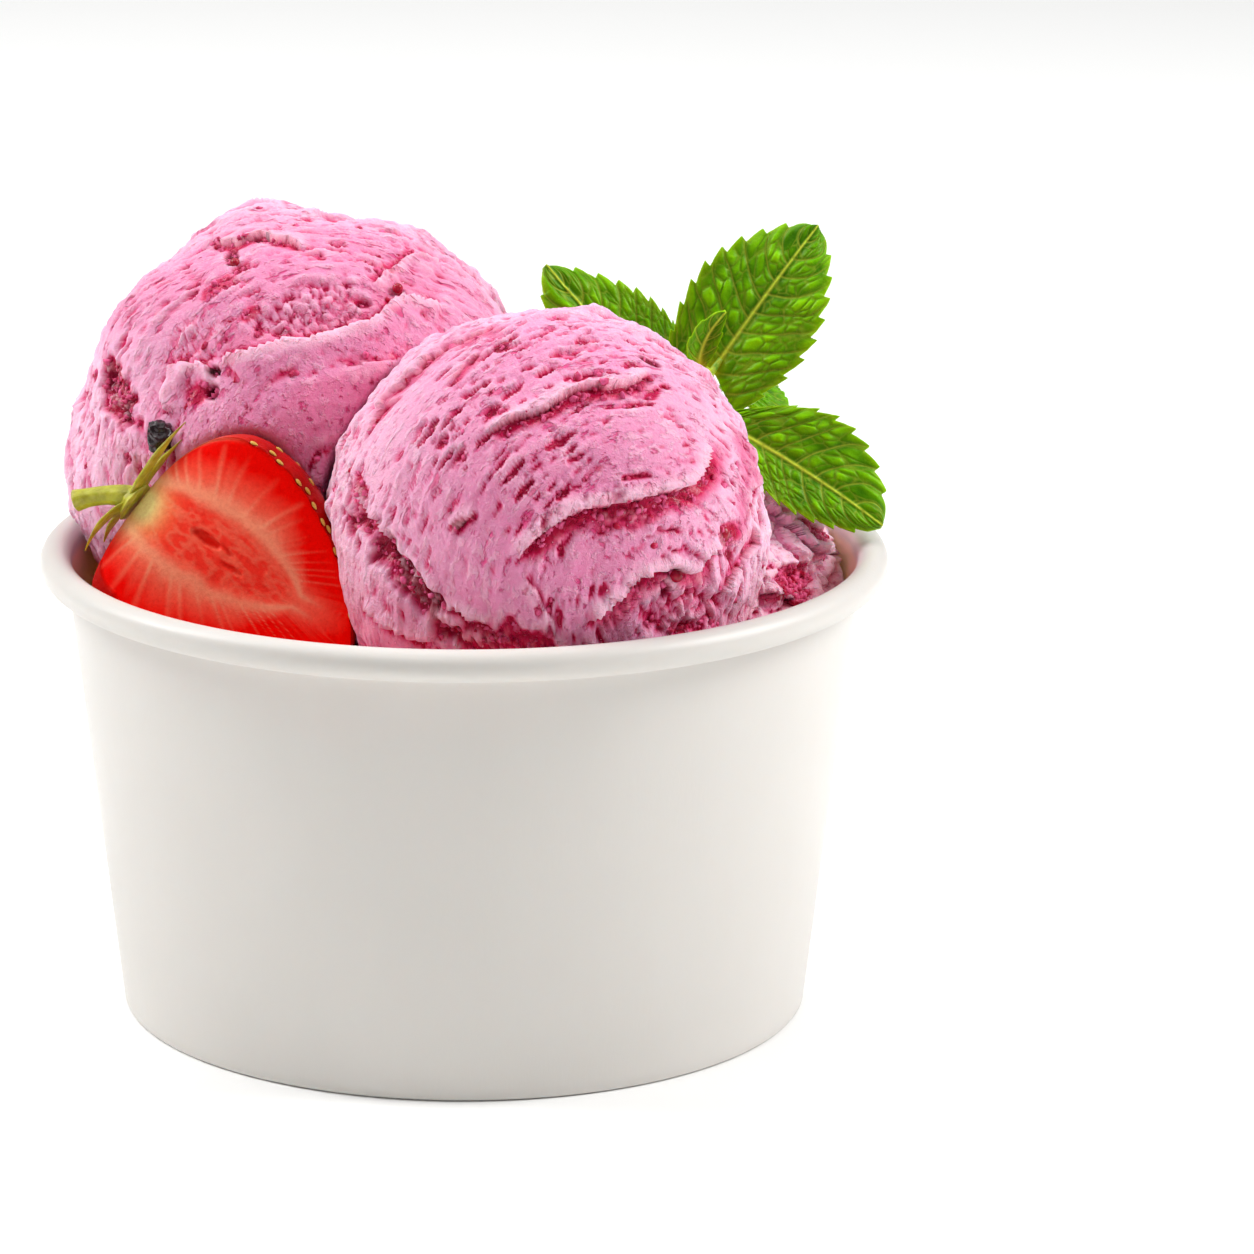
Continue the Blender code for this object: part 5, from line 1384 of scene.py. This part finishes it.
def leaf_sheet(base, middle, tip, face, half_widths, fullest, lobed, fold, droop, teeth, pairs):
    """A leaf's upper face, lower face and colours, over its share along and its side from -1 to 1.

    Its spine is a parabola. Its half width follows a skewed sine arch, notched near the edge by a saw
    that leans to the tip. Side veins leave the midrib at even steps and sweep forward. Finer veins cut
    the strips between them into uneven cells, along the lines midway between random spots, and each
    cell swells.
    """
    along = np.linspace(0.0, 1.0, LEAF_ROWS)
    side = np.linspace(-1, 1, LEAF_COLUMNS)
    side = np.sign(side) * np.abs(side) ** 0.9
    spine = (1 - along[:, None]) ** 2 * np.array(base) + along[:, None] ** 2 * np.array(tip)
    spine = spine + (2 * along * (1 - along))[:, None] * np.array(middle)
    run = np.gradient(spine, axis=0)
    length = float(np.linalg.norm(np.diff(spine, axis=0), axis=1).sum())
    run /= np.linalg.norm(run, axis=1)[:, None]
    wide = np.cross(run, np.array(face, float))
    wide /= np.linalg.norm(wide, axis=1)[:, None]
    upright = np.cross(wide, run)
    skewed = (lobed + (1 - lobed) * along) ** (math.log(0.5) / math.log(lobed + (1 - lobed) * fullest))
    arch = np.clip(np.sin(math.pi * skewed), 0, 1) ** 0.75
    saw = (along * teeth + 0.04 * np.sin(7 * along)) % 1.0
    saw = np.where(saw < 0.86, saw / 0.86, (1 - saw) / 0.14) * eased((1 - along) * 12)
    s, a = np.abs(side)[None], along[:, None]
    half = np.where(side < 0, half_widths[0], half_widths[1])[None]
    edge = (arch + 0.02)[:, None] + (arch * TOOTH * (saw - 0.3))[:, None] * s**7
    lobe = -2.4 * lobed * half * s * (1 - a) ** 6 + 0.55 * saw[:, None] * s**9 * (length / 20)
    lift = fold * s**1.2 * half * edge - droop * s * s * half * a
    lift = lift + 0.05 * half * np.sin(9 * a + 2.5 * side[None]) * s
    across = side[None] * half * edge
    sheet = spine[:, None] + wide[:, None] * across[..., None] + run[:, None] * lobe[..., None]
    mirror = np.where(side < 0, 0.35, 0.0)[None]
    plane = np.stack([a * length + 0 * across, across, np.full_like(across, base[0])], -1).reshape(-1, 3)
    sway, stir = (0.5 * soft_noise(plane, 2.2, 411 + k).reshape(across.shape) for k in (0, 1))
    strip = (a - 0.3 * s**1.4 * (1 - 0.35 * a)) * pairs + mirror + 0.5 * sway * s
    between = strip - np.floor(strip) - 0.5
    vein_gap = (0.5 - np.abs(between)) * length / pairs
    crossing = s * max(half_widths) / 1.5 * (edge / 0.9) + 0.6 * stir
    pattern = np.stack([crossing, 1.5 * strip, 7.0 * np.sign(side)[None] + 0 * strip], -1).reshape(-1, 3)
    nearest, second = (d.reshape(strip.shape) for d in lump_spots(pattern, 1.0, 401))
    cross_gap = second - nearest
    full = 0.75 + 0.9 * soft_noise(plane, 1.6, 403).reshape(strip.shape)
    swell = full * (1 - (2 * np.abs(between)) ** 3.5) * (1 - 0.8 * np.exp(-(cross_gap / 0.2) ** 1.5))
    reach = np.abs(across)
    swell = swell * (1 - np.exp(-(reach / 0.7) ** 2)) * (1 - 0.75 * s**6)
    relief = 0.42 * swell - 0.1 * np.exp(-(vein_gap / 0.2) ** 2) - 0.2 * np.exp(-(reach / 0.7) ** 2)
    relief = relief + 0.22 * np.exp(-(reach / 0.26) ** 2)
    relief = relief * min(1.0, half_widths[0] / 5.0) * eased(a * 14)
    relief = relief + 0.07 * rough_noise(sheet.reshape(-1, 3), 1.1, 405).reshape(relief.shape)
    top = sheet + upright[:, None] * (lift + relief)[..., None]
    thin = LEAF_THICKNESS * (1 - 0.45 * s**8)
    veins_below = 0.22 * np.exp(-(vein_gap / 0.25) ** 2) + 0.5 * np.exp(-(reach / 0.4) ** 2)
    bottom = sheet + upright[:, None] * (lift + 0.8 * relief - thin - veins_below * eased(a * 14))[..., None]
    midrib = np.exp(-(reach / (0.26 - 0.16 * a)) ** 2)
    vein = np.maximum(0.9 * np.exp(-(vein_gap / 0.11) ** 2), 0.4 * np.exp(-(cross_gap / 0.06) ** 2))
    vein = np.maximum(vein * (1 - 0.5 * s**4), midrib)
    rim = s**14
    deep, mid, fresh, pale = (np.array(linear(*c)[:3])
                               for c in ((34, 98, 0), (112, 190, 0), (172, 226, 6), (208, 228, 70)))
    cloud = 0.5 + 0.5 * rough_noise(sheet.reshape(-1, 3), 3.0, 407).reshape(relief.shape)
    # Swellings are painted lighter and fresher green and the creases between them darker: painted highlight
    # and painted shade.
    share = np.clip(0.05 + 1.0 * swell + 0.3 * (cloud - 0.5), 0, 1)[..., None]
    colour = deep * (1 - share) + mid * share
    colour = colour + (fresh - colour) * np.clip(0.55 * rim + 0.35 * cloud * swell, 0, 1)[..., None]
    colour = colour + (pale - colour) * (0.6 * vein + 0.35 * midrib)[..., None]
    joint = np.exp(-(a * length / 1.6) ** 2) * np.exp(-(reach / 0.9) ** 2)
    colour = colour + (np.array(linear(214, 208, 40)[:3]) - colour) * (0.8 * joint)[..., None]
    below = colour * 0.35 + 0.65 * (mid * 0.55 + fresh * 0.45)
    return top, bottom, colour, below


def leaf(name, finish, **shape):
    """Both faces of a leaf as grids, with a narrow wall round them that joins their borders."""
    top, bottom, colour, below = leaf_sheet(**shape)
    rows, columns = top.shape[:2]
    index = np.arange(rows * columns).reshape(rows, columns)
    border = np.concatenate([index[0, :-1], index[:-1, -1], index[-1, :0:-1], index[:0:-1, 0]])
    after = np.roll(border, -1)
    upper = grid_faces(rows, columns)
    lower = grid_faces(rows, columns, first=rows * columns)[:, ::-1]
    wall = np.stack([border, border + rows * columns, after + rows * columns, after], 1)
    if (wall[0, 0] == upper[0, 0]) and (wall[0, 3] == upper[0, 3]):
        wall = wall[:, ::-1]
    points = np.concatenate([top.reshape(-1, 3), bottom.reshape(-1, 3)])
    tints = np.concatenate([colour.reshape(-1, 3), below.reshape(-1, 3)])
    piece("sprig_" + name[5:], finish, "mint", points, upper, lower, wall,
          paint={"leaf": tints}, replaces=(name,))


def mint_finish():
    """Leaf skin: its painted greens, a fine cellular bump, a waxy gloss and light passing through."""
    made, shader, place = new_finish(
        "mint_leaf_skin", linear(80, 146, 12), Roughness=0.34, Specular_IOR_Level=0.32,
        Specular_Tint=(0.75, 1.0, 0.1, 1.0), Coat_Weight=0.04, Coat_Roughness=0.12,
        Subsurface_Weight=0.3, Subsurface_Radius=(0.5, 1.0, 0.05), Subsurface_Scale=0.0007)
    cell = place.grain(0.35, detail=3.0, roughness=0.65)
    mottled(shader, place, "leaf", cell, (0.75, 0.8, 0.6, 1.0), (1.3, 1.2, 1.4, 1.0))
    feed(shader, "Roughness", 0.3 + cell * 0.22)
    bumped(shader, cell * 0.7 + place.grain(0.9, detail=2.0) * 0.3, 0.1)
    return made


leaf_skin = mint_finish()
for leaf_name, leaf_shape in LEAVES.items():
    leaf(leaf_name, leaf_skin, **leaf_shape)


def sprig_stem():
    """The stem's squared tube and a thin petiole from its top to each leaf's midrib."""
    stem_path = bend(STEM_FOOT, STEM_BEND, STEM_TOP, 40)
    girth = np.linspace(1.1, 0.8, 40) * STEM_RADIUS
    tubes = [tube(stem_path, girth, 40, face=(0, 1, 0), ribs=4, rib_height=0.06)]
    for shape in LEAVES.values():
        base, middle = np.array(shape["base"]), np.array(shape["middle"])
        onward = base + 0.14 * (middle - base)
        start = stem_path[np.linalg.norm(stem_path - base, axis=1).argmin()]
        path = bend(start, (start + base) / 2 + np.array([0, 0, -0.2]), onward, 18)
        tubes.append(tube(path, np.linspace(0.62, 0.3, 18), 14, face=(0, 1, 0.2)))
    return gathered(tubes)


def stem_finish():
    """A fresh stem: bright green with yellow patches, with fine long ribs."""
    made, shader, place = new_finish("mint_stem_skin", linear(120, 170, 30), Roughness=0.4,
                                     Subsurface_Weight=0.2, Subsurface_Scale=0.0006)
    yellow = ((place.grain(1.8, detail=3.0) - 0.4) * 4.0).kept()
    feed(shader, "Base Color", yellow.shade(linear(104, 160, 24), linear(196, 204, 44)))
    bumped(shader, place.grain(0.35, detail=2.0, stretch=(1.0, 1.0, 0.3)), 0.08)
    return made


stem_points, stem_quads, stem_corners = sprig_stem()
piece("sprig_stem", stem_finish(), "mint", stem_points, stem_quads, stem_corners, replaces=("mint_stem",))


# Studio. A wide pale floor that runs past the picture, soft panels above and at both sides, and a long
# lens that looks down a little from the front.
CAMERA_PLACE = (0.0, -706.5, 237.5)
CAMERA_PITCH = 15.378
LENS_SHARE = 6446 / 1254
MIDDLE_SHIFT = (627 - 464.2) / 1254


def pale_floor():
    """A square of floor four metres wide, just under the tub's foot."""
    made = bpy.data.materials.new("pale_floor")
    made.use_nodes = True
    shader = made.node_tree.nodes["Principled BSDF"]
    shader.inputs["Base Color"].default_value = linear(250, 250, 249)
    shader.inputs["Roughness"].default_value = 0.9
    mesh = bpy.data.meshes.new("floor")
    corners = np.array([(-2, -2, 0), (2, -2, 0), (2, 2, 0), (-2, 2, 0)], float) - np.array([0, 0, 0.0001])
    mesh.from_pydata(corners.tolist(), [], [(0, 1, 2, 3)])
    mesh.materials.append(made)
    floor = bpy.data.objects.new("floor", mesh)
    bpy.context.scene.collection.objects.link(floor)


def soft_panel(name, place, aim, width, height, power):
    """A rectangular light in metres, turned so that it shines at a point."""
    light = bpy.data.lights.new(name, "AREA")
    light.shape = "RECTANGLE"
    light.size, light.size_y = width, height
    light.energy = power
    made = bpy.data.objects.new(name, light)
    bpy.context.scene.collection.objects.link(made)
    made.location = place
    shine = np.array(aim, float) - np.array(place, float)
    made.rotation_euler = (math.atan2(math.hypot(shine[0], shine[1]), -shine[2]), 0.0,
                           math.atan2(-shine[0], shine[1]))


pale_floor()
soft_panel("panel_above", (-0.15, 0.36, 0.95), (0, 0.08, 0.05), 0.9, 0.9, 3.4)
soft_panel("panel_left", (-0.62, 0.12, 0.6), (0, 0, 0.07), 0.35, 0.4, 5.0)
soft_panel("panel_right", (0.64, -0.02, 0.56), (0, 0, 0.07), 0.35, 0.4, 5.6)
soft_panel("panel_front", (-0.2, -0.4, 1.15), (0, 0, 0.05), 0.3, 0.3, 1.6)
world = bpy.data.worlds.new("studio")
world.use_nodes = True
world.node_tree.nodes["Background"].inputs["Color"].default_value = (1.0, 1.0, 1.0, 1.0)
world.node_tree.nodes["Background"].inputs["Strength"].default_value = 0.3
bpy.context.scene.world = world
bpy.context.scene.view_settings.view_transform = "Standard"
camera_data = bpy.data.cameras.new("camera")
camera_data.sensor_width = 36.0
camera_data.lens = 36.0 * LENS_SHARE
camera_data.shift_x = MIDDLE_SHIFT
camera_data.clip_end = 20.0
camera = bpy.data.objects.new("camera", camera_data)
bpy.context.scene.collection.objects.link(camera)
camera.location = [v * MM for v in CAMERA_PLACE]
camera.rotation_euler = (math.radians(90 - CAMERA_PITCH), 0.0, 0.0)
bpy.context.scene.camera = camera
